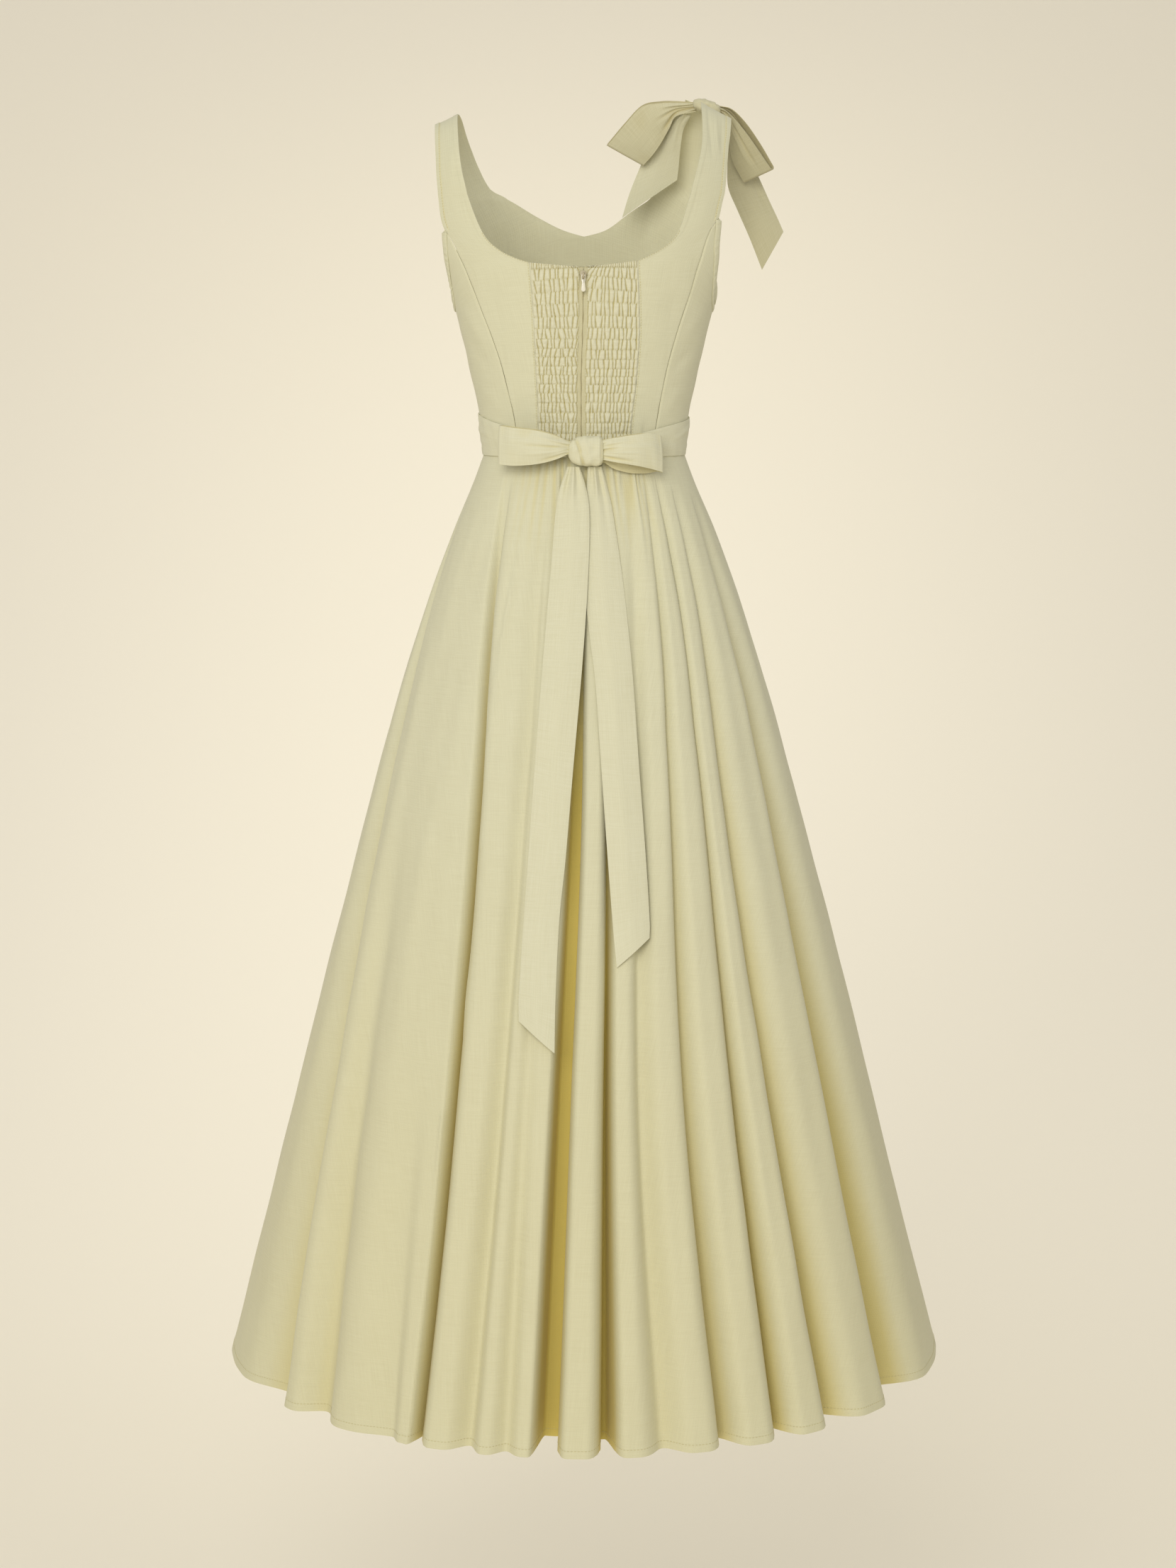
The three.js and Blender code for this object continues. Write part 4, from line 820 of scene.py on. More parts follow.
def front_bodice(samples=140, columns=52):
    """The front, in two halves that share centre front below the neckline. In each, turn and level run
    evenly from its inner to its outer edge, and the cloth stands off the body by the roll of the side
    seam, turned edges, soft creases and ripples. Returns the lines of stitches on its armholes."""
    halves, lines = [], []
    at = np.linspace(0, TOP_ROW, samples)
    split = int(np.searchsorted(at, FRONT_SPLIT))
    at[split] = FRONT_SPLIT
    row = at[:, None]
    side_seam = 1 - smooth(SIDE_SEAM_ROW, SIDE_SEAM_ROW + 0.4, row)
    for hand in (1, -1):
        turn, level = between_edges(front_edges(hand, at, split), columns, seam_in=0.0)
        flat = off_body(turn, level, np.zeros_like(turn))
        outer = edge_distance(flat, from_last=True)
        inner = edge_distance(flat, from_last=False)
        off = seam_roll(outer) * side_seam
        off += turned_edges(inner, outer, smooth(FRONT_SPLIT, FRONT_SPLIT + 0.6, row), 1 - side_seam)
        x, z = hand * flat[..., 0], flat[..., 2]
        middle = np.exp(-((x / 14) ** 2))
        off += (1 - middle) * (0.25 * ripple(flat[..., 0], z, 42, 21) + creases(FRONT_CREASES, x, z))
        points = off_body(turn, level, off)
        if hand > 0:
            points = points + np.array([-1.0, 2.0, 9.0]) * smooth(TOP_ROW - 1.2, TOP_ROW, row)[..., None]
        points[: split + 1, 0, 0] = 0.0
        armhole = at > FRONT_SPLIT
        lines.append(edge_line(points[armhole], outer[armhole], STITCHED))
        halves.append(points)
    right, left = halves
    left[: split + 1, 0] = right[: split + 1, 0]
    lower = np.concatenate([left[: split + 1, ::-1], right[: split + 1, 1:]], axis=1)
    parts = [lower, right[split:], left[split:, ::-1]]
    piece = shell("front_bodice", parts, LIGHTER_FRONT_LINEN, "front_bodice")
    return lines


# Soft creases of the bodice, in millimetres of x and height: line, width and height.
FRONT_CREASES = [
    (95, -235, 40, -262, 9, 1.0),
    (112, -268, 62, -300, 7, -0.8),
    (30, -330, 36, -388, 6, 0.9),
    (62, -338, 58, -389, 5, -0.9),
    (88, -330, 82, -388, 6, 0.7),
    (118, -205, 88, -232, 8, -0.9),
]
BACK_LEFT_CREASES = [
    (-57, -330, -63, -389, 3.0, 0.5),
    (-68, -345, -72, -389, 3.5, -0.6),
    (-60, -371, -74, -380, 3.0, 0.5),
    (-108, -190, -92, -240, 9, -0.6),
    (-150, -100, -146, -30, 5, 0.5),
    (-156, -14, -145, -40, 5, -0.5),
]
BACK_RIGHT_CREASES = [
    (60, -345, 70, -389, 3.0, 0.6),
    (70, -350, 62, -386, 3.0, -0.5),
    (104, -205, 90, -262, 9, -0.6),
    (140, -14, 143, -60, 2.2, -0.7),
    (148, -18, 150, -52, 2.0, 0.6),
    (155, -22, 154, -60, 2.2, -0.6),
]
SIDE_LEFT_CREASES = [
    (-136, -225, -112, -268, 6, 0.9),
    (-128, -262, -104, -300, 6, -0.8),
    (-112, -318, -92, -344, 6, 0.6),
]
SIDE_RIGHT_CREASES = [
    (134, -228, 112, -262, 6, 0.8),
    (124, -268, 100, -296, 5, -0.8),
    (110, -312, 92, -345, 6, 0.6),
]

strap_lines = []
for side_name, side_rows, side_creases in (
    ("back_panel_left", BACK_LEFT, BACK_LEFT_CREASES),
    ("back_panel_right", BACK_RIGHT, BACK_RIGHT_CREASES),
):
    strap_lines.extend(back_panel(side_name, side_rows, side_creases))
side_back("side_back_left", BACK_LEFT, SIDE_LEFT, SIDE_LEFT_CREASES)
side_back("side_back_right", BACK_RIGHT, SIDE_RIGHT, SIDE_RIGHT_CREASES)
stitches("bodice_topstitching", strap_lines + front_bodice())


def binding(name, side_rows, seed):
    """The narrow binding round the bottom of an armhole. Its inner edge is that of the armhole, from
    the back panel's seam round to the front. Its outer edge lies further from the armhole's middle by
    the binding's width, and between them the band swells as the root of a half wave, with crinkles
    across it where it is eased on."""
    hand = np.sign(side_rows["out_x"][0])
    behind = slice(len(side_rows["out_x"]) - 1, FRONT_SPLIT - 2, -1)
    back_turn, back_level = body_place(side_rows["out_x"][behind], side_rows["out_z"][behind])
    ahead = slice(FRONT_SPLIT, FRONT_SPLIT + 4)
    front_turn, front_level = body_place(hand * FRONT["out_x"][ahead], FRONT["out_z"][ahead], hand)
    turn = np.concatenate([back_turn, front_turn])
    level = np.concatenate([back_level, front_level])
    across = (turn - hand * np.pi / 2) * BODY_RADIUS
    up = level - ARMHOLE_MIDDLE
    wide = BINDING_WIDE / np.hypot(across, up)
    at = np.linspace(0, len(turn) - 1, 150)
    number = np.arange(len(turn))
    edge_turn, edge_level, low_turn, low_level = (
        curve(number, column)(at)[:, None]
        for column in (turn, level, turn + wide * across / BODY_RADIUS, level + wide * up)
    )
    share = np.linspace(-0.06, 1, 12)[None, :]
    crinkle = ripple(at[:, None] * 22, share * 6, 3.4, seed, stretch=6)
    swell = np.sin(np.pi * np.clip(share, 0, 1)) ** 0.5
    off = 0.5 + 0.7 * swell + (0.5 if hand < 0 else 0.25) * crinkle * swell
    points = off_body(lerp(edge_turn, low_turn, share), lerp(edge_level, low_level, share), off)
    piece = shell(name, [points], LINEN, name, thickness=0.5)


binding("armhole_binding_left", SIDE_LEFT, 31)
binding("armhole_binding_right", SIDE_RIGHT, 32)

# ---- Smocking ----
SMOCK_ROWS = 18
TOP_BAND = 0.6  # height of the band above the last row of elastic, in rows
SMOCK_PITCH = 4.6  # width of a puff
SMOCK_RAISE = 1.8
SMOCK_SLANT = 1.1  # how far the puffs lean towards the slider, in puffs
VALLEY_WIDE = 0.17  # half the width of a valley between two puffs, in puffs
SEWN_WIDE = 0.085  # half the width of the groove that a row of elastic makes, in rows
SEWN_DEEP = 0.8
ZIP_FLAP = 4.2  # width of the plain strip beside the zip
ZIP_GAP = 0.45  # half the gap between the two halves
CREASED = {-1: 1.3, 1: 0.8}  # how uneven the left half is, and the right
zip_x = curve(ZIP_LINE["z"], ZIP_LINE["x"])


def puffs(inner, band, hand, rng):
    """The height of the puffs over a half, and how far each point is from a valley. In each row the
    phase grows by 1 a puff, from seams that wander, lean and slant towards the slider. A valley is a
    bell-shaped dip where the phase is near a whole number, and a puff's height grows from half at the
    elastic to its whole between two rows, as a flattened half wave."""
    index = np.minimum(np.floor(band), SMOCK_ROWS).astype(int)
    share = band - index
    in_a_row = int(float(inner[:, -1].mean()) / SMOCK_PITCH)
    height, clear = np.zeros_like(inner), np.ones_like(inner)
    for row in range(SMOCK_ROWS + 1):
        inside = (index == row)[:, 0]
        count = in_a_row if row < SMOCK_ROWS else in_a_row * 2
        number = np.arange(count + 1)
        wander = rng.uniform(-0.3, 0.3, count + 1)
        wander[[0, -1]] = 0
        place = inner[inside] / inner[inside][:, -1:]
        local = share[inside]
        lean = rng.uniform(-0.45, 0.45, count + 1) * CREASED[hand]
        swell = rng.uniform(0.6, 1.15, count + 1)
        near_slider = np.exp(-((place / 0.4) ** 2) - ((SMOCK_ROWS - band[inside]) / 1.8) ** 2)
        slant = SMOCK_SLANT * (1.5 if hand > 0 else 0.7) * near_slider
        bend = (np.interp(place * count, number, lean) - slant) * (local - 0.5)
        phase = np.interp(place, (number + wander) / count, number) + bend
        valley = 1 - np.exp(-((np.abs(phase - np.round(phase)) / VALLEY_WIDE) ** 2))
        tall = np.interp(phase, number, swell)
        if row < SMOCK_ROWS:
            pinch = np.sin(np.pi * np.clip(local, 0, 1)) ** 0.4
        else:
            pinch = smooth(0, 0.12, local)
        height[inside] = valley * (0.55 + 0.45 * tall) * (0.5 + 0.5 * pinch)
        clear[inside] = valley
    return height, clear


def smocked_back(name, back_rows, hand, seed, rows=232, columns=112):
    """Linen gathered on rows of elastic thread. Turn and level run from the zip to the back panel's
    seam, and the cloth stands off the body by its puffs, less a pricked groove at each row of elastic,
    with crumples. A plain strip lies beside the zip, and the top band is gathered finer. Returns the
    line of stitches beside the zip."""
    up = np.linspace(0, 1, rows)
    number = np.arange(NECK_CORNER + 1)
    out_x = curve(number, back_rows["in_x"][: NECK_CORNER + 1])(up * NECK_CORNER)
    out_z = curve(number, back_rows["in_z"][: NECK_CORNER + 1])(up * NECK_CORNER)
    in_z = lerp(out_z, NECK_BACK, up**12)
    edges = [*body_place(zip_x(in_z) + hand * ZIP_GAP, in_z), *body_place(out_x, out_z)]
    turn, level = between_edges(edges, columns, seam_in=0.0)
    flat = off_body(turn, level, np.zeros_like(turn))
    z = flat[..., 2]
    inner = edge_distance(flat, from_last=False)
    outer = edge_distance(flat, from_last=True)
    band = up[:, None] * (SMOCK_ROWS + TOP_BAND)
    height, clear = puffs(inner, band, hand, np.random.default_rng(seed))
    share = band - np.minimum(np.floor(band), SMOCK_ROWS)
    sewn_row = np.exp(-((np.minimum(share, 1 - share) / SEWN_WIDE) ** 2))
    pricks = 0.5 + 0.5 * np.sin(2 * np.pi * inner / 2.3 + 9 * ripple(inner, z, 60, seed + 2))
    groove = sewn_row * (0.5 + 0.8 * pricks) + 0.8 * np.exp(-(((band - SMOCK_ROWS) / 0.09) ** 2))
    crumple = 0.16 * ripple(inner, z, 2.6, seed + 3) + 0.2 * ripple(inner, z, 6, seed + 4)
    sewn = smooth(WAIST + 1, WAIST + 16, z)
    plain_strip = 1 - smooth(ZIP_FLAP - 1, ZIP_FLAP + 1, inner)
    edge = smooth(0, 2.2, outer) * (1 - plain_strip)
    fine_lines = 0.22 * np.cos(2 * np.pi * inner / 1.9) * plain_strip
    off = SMOCK_RAISE * height - SEWN_DEEP * groove + CREASED[hand] * crumple
    off = off * sewn * (0.12 + 0.88 * edge) + seam_roll(outer, 1.0, 0.3) - 0.7 * plain_strip + fine_lines
    off += 0.3 * ripple(inner, z, 21, seed + 1)
    # Painted shade: the fold attribute paints the valleys between puffs, the pricked rows of elastic and
    # the plain strip beside the zip darker and more golden.
    fold = np.clip(1.2 - 2.4 * clear, 0, 1) + 0.3 * sewn_row * pricks
    fold = np.clip(0.85 * fold * sewn * edge + 0.35 * plain_strip, 0, 1)
    points = off_body(turn, level, off)
    piece = shell(name, [points], SMOCKED, name, thickness=0.7, fold=fold)
    return edge_line(points, inner, ZIP_FLAP + 0.4)


zip_lines = [
    smocked_back("smocked_back_left", BACK_LEFT, -1, 41),
    smocked_back("smocked_back_right", BACK_RIGHT, 1, 47),
]
stitches("zip_stitching", zip_lines)


# ---- Zip ----
TAPE_HALF = 11.0  # width of one tape
TAPE_BEHIND = 2.0  # how far the tapes lie behind the smocking's own surface
COIL_BEHIND = 1.05
COIL_BELOW = 14.0  # how far the closed line starts below the neckline, under the slider
COIL_PITCH = 1.5
COIL_TURNS = 136
COIL_HALF = (0.95, 0.62, 0.35)  # a turn's half width and depth, and how far it rises
COIL_WIRE = (0.28, 0.42)  # radius of the moulded wire across, and up


def zip_tape():
    """The zip's two tapes, which lie behind the smocking as one band along the zip's line."""
    heights = np.linspace(WAIST + 1, NECK_BACK - 1.5, 60)[:, None]
    across = np.linspace(-TAPE_HALF, TAPE_HALF, 9)[None, :]
    turn, level = body_place(zip_x(heights) + across, heights + 0 * across)
    tape = off_body(turn, level, np.full(turn.shape, -TAPE_BEHIND))
    piece = shell("zip_tape", [tape], TAPE, "zip", thickness=0.8)


def zip_coil():
    """The zip's coil, a row of moulded turns along the closed line. Each is a ring of round wire,
    squeezed flat front to back, whose middle rises once as it goes round."""
    ring = np.linspace(0, 2 * np.pi, 10, endpoint=False)
    wire = np.linspace(0, 2 * np.pi, 5, endpoint=False)
    around, thick = np.meshgrid(ring, wire, indexing="ij")
    half_width, half_depth, rise = COIL_HALF
    swell = COIL_WIRE[0] * np.cos(thick)
    local = np.stack([
        (half_width + swell) * np.cos(around),
        (half_depth + swell) * np.sin(around),
        COIL_WIRE[1] * np.sin(thick) + rise * np.cos(around),
    ], -1)
    z = NECK_BACK - COIL_BELOW - COIL_PITCH * np.arange(COIL_TURNS)
    turn, level = body_place(zip_x(z), z)
    centre = off_body(turn, level, np.full(COIL_TURNS, -COIL_BEHIND))
    points = centre[:, None, None, :] + local[None]
    index = np.arange(around.size).reshape(around.shape)
    next_ring = np.roll(index, -1, 0)
    corners = [index, np.roll(index, -1, 1), np.roll(next_ring, -1, 1), next_ring]
    quads = np.stack(corners, -1).reshape(-1, 4)
    faces = (quads[None] + around.size * np.arange(COIL_TURNS)[:, None, None]).reshape(-1, 4)
    wear(mesh_piece("zip_coil", points.reshape(-1, 3), faces, COIL), slot="zip_coil")


zip_tape()
zip_coil()


def softened(node_name, body, width, piece_name, material):
    """A hard piece with its edges rounded over, made from a merged copy of the frame's own mesh."""
    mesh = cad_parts[node_name].data.copy()
    mesh.materials.clear()
    mesh.materials.append(material)
    piece = bpy.data.objects.new(piece_name, mesh)
    bpy.context.scene.collection.objects.link(piece)
    weld = piece.modifiers.new("merged", "WELD")
    weld.merge_threshold = 1e-5
    bevel = piece.modifiers.new("rounded edges", "BEVEL")
    bevel.width = width * MM
    bevel.segments = 3
    bevel.angle_limit = math.radians(25)
    mesh.polygons.foreach_set("use_smooth", np.ones(len(mesh.polygons), bool))
    return wear(piece, node_name, body=body, slot="zip_metal")


softened("zip_slider", "dress", 0.3, "zip_slider_enamelled", SHADED_SLIDER_ENAMEL)
softened("zip_pull", "pull_tab", 0.25, "zip_pull_enamelled", ENAMEL)

# ---- Skirt ----
skirt_half = curve(SKIRT["z"], SKIRT["half"])
skirt_back_depth = curve(SKIRT["z"], SKIRT["back"])
skirt_front_depth = curve(SKIRT["z"], SKIRT["front"])
OVAL_DROP = 300.0  # drop by which the waist's squarish ring has become an oval
FOLD_OPENING = 0.8  # exponent of a fold's depth, from where it opens down to the hem
WAIST_GAP = 0.3  # gap between the waist seam and the skirt
HEM_STITCH_ROW = -5  # row of a skirt panel's grid where its hem is stitched
LOW_SKIRT_SHADE = 0.13  # how strongly the skirt's lower half is painted darker and more golden, as painted shade
FULL_SHADE_DEPTH = 58.0  # depth from which a fold's painted shade is at its strongest
GATHER_PITCH = 8.6  # width of a small gather at the waist
GATHER_RAISE = {"back": 3.0, "front": 1.8}  # and its height
GATHERED = (22, 42)  # degrees from the middle where the gathers start to fade, and where they end


def fold_lines(valleys, share):
    """The lines down a skirt panel, as a list of turns at each share of the drop and a dictionary of
    each line's other values: a side seam on the brow of a broad fold at both ends, and valleys with a
    ridge halfway between each two."""
    count = len(valleys["top"])
    knots = np.stack([valleys[key] for key in VALLEY_COLUMNS.split()[:5]])
    turns = [curve(FOLD_SHARES, knots[:, index])(share) for index in range(count)]
    lines = [0 * share - 90, lerp(-90, turns[0], 0.55)]
    for before, turn in zip([None] + turns[:-1], turns):
        if before is not None:
            lines.append((before + turn) / 2)
        lines.append(turn)
    lines += [lerp(turns[-1], 90, 0.45), 0 * share + 90]
    values = {}
    for key in VALLEY_COLUMNS.split()[5:]:
        values[key] = np.zeros(len(lines))
        values[key][2 : 2 + 2 * count : 2] = valleys[key]
    return np.concatenate(lines, axis=1), values


def skirt_drops(rows=122):
    """How far the rows of a skirt panel lie below the waist seam: closer at the gathers and the hem."""
    turned = WAIST - HEM - HEM_TURNED
    return np.concatenate([
        np.linspace(0, 60, 20, endpoint=False),
        np.linspace(60, turned, rows - 25, endpoint=False),
        np.linspace(turned, WAIST - HEM, 5),
    ])[:, None]


def large_folds(valleys, share, per_fold):
    """The turn of each point of a panel, how far in it lies, and the painted shade of its fold there.
    Between a ridge and a valley the cloth swings in along a half wave, raised to a power that makes it
    steeper, and a lapped side bulges over its valley."""
    turns, line = fold_lines(valleys, share)
    turns, depth = np.radians(turns), line["depth"]
    open_share = np.maximum(0, (share - line["start"]) / (1 - line["start"]))
    insets = depth * open_share**FOLD_OPENING
    count = (len(depth) - 1) * per_fold
    index = np.arange(count + 1) / per_fold
    low = np.minimum(len(depth) - 2, np.floor(index)).astype(int)
    rising = depth[low + 1] > depth[low]
    even = np.where(rising, index - low, 1 - (index - low))
    toward = 1 - (1 - even) ** np.where(depth[low + 1] == depth[low], 1.0, 1.5)
    part = np.where(rising, toward, 1 - toward)
    power = np.maximum(1, np.where(rising, line["left"][low + 1], line["right"][low]))
    floor = np.where(rising, line["floor"][low + 1], line["floor"][low])
    swing = ((1 - np.cos(np.pi * np.minimum(1, toward / (1 - floor)))) / 2) ** power
    lapped = np.where(rising, np.minimum(0, line["lap"][low + 1]), np.maximum(0, line["lap"][low]))
    from_inset = np.where(rising, insets[:, low], insets[:, low + 1])
    to_inset = np.where(rising, insets[:, low + 1], insets[:, low])
    inset = from_inset + (to_inset - from_inset) * swing
    turn = lerp(turns[:, low], turns[:, low + 1], part)
    bulge = 4 * swing * (1 - swing) * smooth(0, 12, np.abs(to_inset - from_inset))
    turn = turn - np.radians(lapped) * bulge * (1 + 0.5 * (1 - share))
    middle = 1 - np.abs(1 - 2 * np.arange(count + 1) / count) ** 40
    turn = turn * (1 - SEAM_TURN * (1 - middle))
    # Painted shade: a valley is painted darker and more golden the further in it lies, and more so the
    # deeper the fold.
    full = np.minimum(1, np.where(rising, depth[low + 1], depth[low]) / FULL_SHADE_DEPTH) ** 1.3
    return turn, inset, full * np.clip((inset - from_inset - 4) / 23, 0, 1) ** 1.2


def skirt_panel(faces, valleys, minor, per_fold):
    """A gathered skirt panel: its large folds, and between them softer bell-shaped ones along the lines
    of minor, small gathers that run out below the waist seam as a wave of uneven pitch, ripples, and
    the turned hem. A row is a rounded oval, less how far in the cloth lies, and gets rounder down to
    OVAL_DROP. Returns the line of stitches round the hem."""
    name = "skirt_" + faces
    depth_of = skirt_back_depth if faces == "back" else skirt_front_depth
    drop = skirt_drops()
    share = drop / (WAIST - HEM)
    z = WAIST - WAIST_GAP - drop * (1 - WAIST_GAP / (WAIST - HEM))
    turn, inset, valley_shade = large_folds(valleys, share, per_fold)
    degrees = np.degrees(turn)
    for top_at, hem_at, first, width, height in minor:
        line = lerp(top_at, hem_at, share)
        fade = smooth(first, first + 0.12, share) * (1 - smooth(0.8, 1, share))
        inset = inset - height * fade * np.exp(-(((degrees - line) / width) ** 2))
    around = np.radians(degrees) * 110
    reach = 1 - smooth(*GATHERED, np.abs(degrees))
    beat = np.sin(2 * np.pi * around / GATHER_PITCH + 2.6 * ripple(around, drop * 0.1, 30, 61))
    run_out = 110 + 60 * ripple(around, 0 * drop, 17, 62)
    gathers = (0.5 + 0.5 * beat) ** 1.4 * (1 - smooth(0.05, 1, drop / run_out)) ** 1.5
    inset = inset - GATHER_RAISE[faces] * smooth(-2, 9, drop) * reach * gathers
    inset = inset - 0.6 * ripple(around * 2.2, drop, 120, 63, stretch=3.5) * smooth(20, 140, drop)
    inset = inset - 0.35 * ripple(around * 2.5, drop, 38, 64, stretch=2.2) * smooth(30, 120, drop)
    turned = WAIST - HEM - HEM_TURNED
    inset = inset - 0.5 * smooth(turned - 0.8, turned + 0.8, drop)
    squareness = 2 / lerp(ROUNDNESS, 2, np.minimum(1, drop / OVAL_DROP))
    x = (skirt_half(z) - inset) * np.sign(turn) * np.abs(np.sin(turn)) ** squareness
    y = (depth_of(z) - inset) * np.maximum(0, np.cos(turn)) ** squareness
    points = np.stack([x, -y if faces == "back" else y, z + np.zeros_like(x)], -1)
    # Painted shade: the fold attribute paints the valleys, the lower skirt and the troughs of the
    # gathers below the waist darker and more golden.
    fold = np.maximum(valley_shade * smooth(30, 240, drop), LOW_SKIRT_SHADE * smooth(200, 900, drop))
    fold = fold + 0.35 * reach * (1 - smooth(20, 130, drop)) * (0.5 - 0.5 * beat) ** 3
    piece = shell(name, [points], LINEN, name, fold=fold)
    return points[HEM_STITCH_ROW], ways_out(points)[HEM_STITCH_ROW]


# Softer folds between the large ones: degrees at the top and at the hem, the share of the drop where
# each starts, its width in degrees and its height. All fade out over the last fifth of the drop.
BACK_MINOR = [
    (-64, -53, 0.15, 3.2, 3.0),
    (-46, -39, 0.3, 3.0, 2.5),
    (-33, -21.5, 0.1, 2.4, 2.5),
    (14, 7.5, 0.1, 1.8, 2.5),
    (27, 16.5, 0.1, 1.8, 2.0),
    (37, 26, 0.1, 1.6, 2.0),
    (48, 35.5, 0.2, 2.2, 2.5),
    (60, 50, 0.15, 3.0, 3.5),
]
FRONT_MINOR = [
    (-62, -52, 0.1, 2.8, 3.0),
    (-45, -36, 0.2, 2.2, -2.0),
    (-26, -21, 0.1, 2.2, 2.5),
    (8, 8, 0.2, 2.0, -2.0),
    (24, 20, 0.1, 2.0, 2.5),
    (42, 36, 0.2, 2.4, 2.5),
    (60, 55, 0.1, 2.8, 3.0),
]
hem_lines = [
    skirt_panel("back", BACK_VALLEYS, BACK_MINOR, per_fold=14),
    skirt_panel("front", FRONT_VALLEYS, FRONT_MINOR, per_fold=13),
]
stitches("hem_stitching", hem_lines, length=2.8, pitch=3.8)


def skirt_behind(x, z):
    """The depth of the back skirt's ridges at an x and a height."""
    reach = np.minimum(0.98, np.abs(x) / skirt_half(z))
    return -skirt_back_depth(z) * np.sqrt(1 - reach**2)


# ---- Sash and bows ----
# Creases of the sash, in degrees round the waist and millimetres of height: line, width and height.
SASH_CREASES = [
    (58, -372, 96, -352, 3.0, 1.2),
    (64, -380, 104, -374, 3.0, -0.7),
    (300, -368, 262, -360, 3.5, 0.9),
    (296, -380, 250, -378, 3.0, -0.7),
    (120, -366, 190, -362, 4.0, 0.8),
    (150, -378, 236, -374, 4.0, -0.7),
]


def sash_band(columns=420, rows=26):
    """The sash round the waist: a band of folded linen between the curves of its two edges. It stands
    off the body by its table, a flattened half wave that rolls its edges, and long soft creases where
    it is pulled towards the knot."""
    top, bottom, stand = (curve(SASH["turn"], SASH[key]) for key in ("top", "bottom", "off"))
    turn = np.linspace(SASH["turn"][0], SASH["turn"][-1], columns)[None, :]
    up = np.linspace(0, 1, rows)[:, None]
    level = lerp(bottom(turn), top(turn), up)
    rolled = np.sin(np.pi * up) ** 0.4
    off = stand(turn) + 0.6 + 0.9 * rolled + creases(SASH_CREASES, turn + 0 * up, level)
    off += 0.25 * ripple(turn * 2, level, 26, 71, stretch=0.5)
    points = off_body(np.radians(turn) + 0 * up, level, off)
    piece = shell("sash", [points], RIBBON, "sash", thickness=1.2)


sash_band()


LOOP_PLEAT = 1.5  # height of a pleat at the knot
LOOP_PLEATS = 3.2  # how many cross a loop
TAIL_CROWN = 3.0  # how far a tail's middle stands out
TAIL_PLEAT = 1.3
TAIL_PLEATS = 2.4


def ribbon_frames(rows, samples):
    """The two edges of a ribbon as smooth curves, with the ways along and out of it."""
    number = np.arange(len(rows["ax"]))
    at = np.linspace(0, number[-1], samples)
    edge_a = np.stack([curve(number, rows[key])(at) for key in ("ax", "ay", "az")], -1)
    edge_b = np.stack([curve(number, rows[key])(at) for key in ("bx", "by", "bz")], -1)
    along = unit(np.gradient((edge_a + edge_b) / 2, axis=0))
    out = unit(np.cross(along, unit(edge_b - edge_a)))
    return at, edge_a, edge_b, along, out


def bow_loop(name, rows, material, folds, seed, samples=52, columns=38):
    """A loop of ribbon: out on the layer that is seen, round a half circle at its end and back on the
    other. Each layer lies half the gap off the surface between the ribbon's two edges, with pleats as
    waves across it that fade away from the knot, and the front one swells by its crown."""
    at, edge_a, edge_b, along, out = ribbon_frames(rows, samples)
    number = np.arange(len(rows["ax"]))
    gap, crown, droop = (curve(number, rows[key])(at) for key in ("gap", "crown", "droop"))
    share = np.linspace(0, 1, columns)[None, :]
    fan = 1 - smooth(0, 0.62 * at[-1], at)[:, None]
    u = at[:, None] / at[-1] * 100
    wander = share + 0.03 * np.sin(u / 14 + share * 5)
    pleats = LOOP_PLEAT * fan * np.sin(2 * np.pi * (LOOP_PLEATS * wander + 0.12 * seed))
    pleats = pleats + creases(folds, u, share * 100)
    pleats += 0.35 * ripple(u, share * 40, 30, seed)
    faces_back = out[:, 1].mean() < 0
    out = out if faces_back else -out
    front_off = gap[:, None] / 2 + crown[:, None] * np.sin(np.pi * share) + pleats
    back_off = -gap[:, None] / 2 + 0.5 * pleats
    across = edge_b - edge_a
    layer = edge_a[:, None] + across[:, None] * share[..., None]
    front = layer + out[:, None] * front_off[..., None]
    lower = np.zeros_like(layer)
    lower[..., 2] = -droop[:, None] * share**2
    back = layer + lower + out[:, None] * back_off[..., None]
    bend = np.linspace(0, np.pi, 14)[1:-1][:, None]
    end_gap = gap[-1] / 2
    mean = (front[-1] + back[-1]) / 2
    half = (front[-1] - back[-1]) / 2
    end = mean[None] + half[None] * np.cos(bend)[..., None]
    end = end + along[-1] * (np.sin(bend) * end_gap * 0.8)[..., None]
    points = np.concatenate([front, end, back[::-1]], axis=0)
    turning = np.concatenate([np.zeros(len(front)), 0.5 - 0.5 * np.cos(bend[:, 0]), np.ones(len(back))])
    # Painted shade: the turn at the loop's end, its back layer and the troughs of its pleats are painted
    # darker through the fold attribute.
    pleat_shade = np.zeros(points.shape[:2])
    pleat_shade[: len(front)] = np.clip(-0.16 * pleats, 0, 0.4)
    loop_shade = np.maximum(0.35 * turning[:, None], pleat_shade)
    return shell(name, [points], material, name, flip=faces_back, thickness=0.8, fold=loop_shade), points


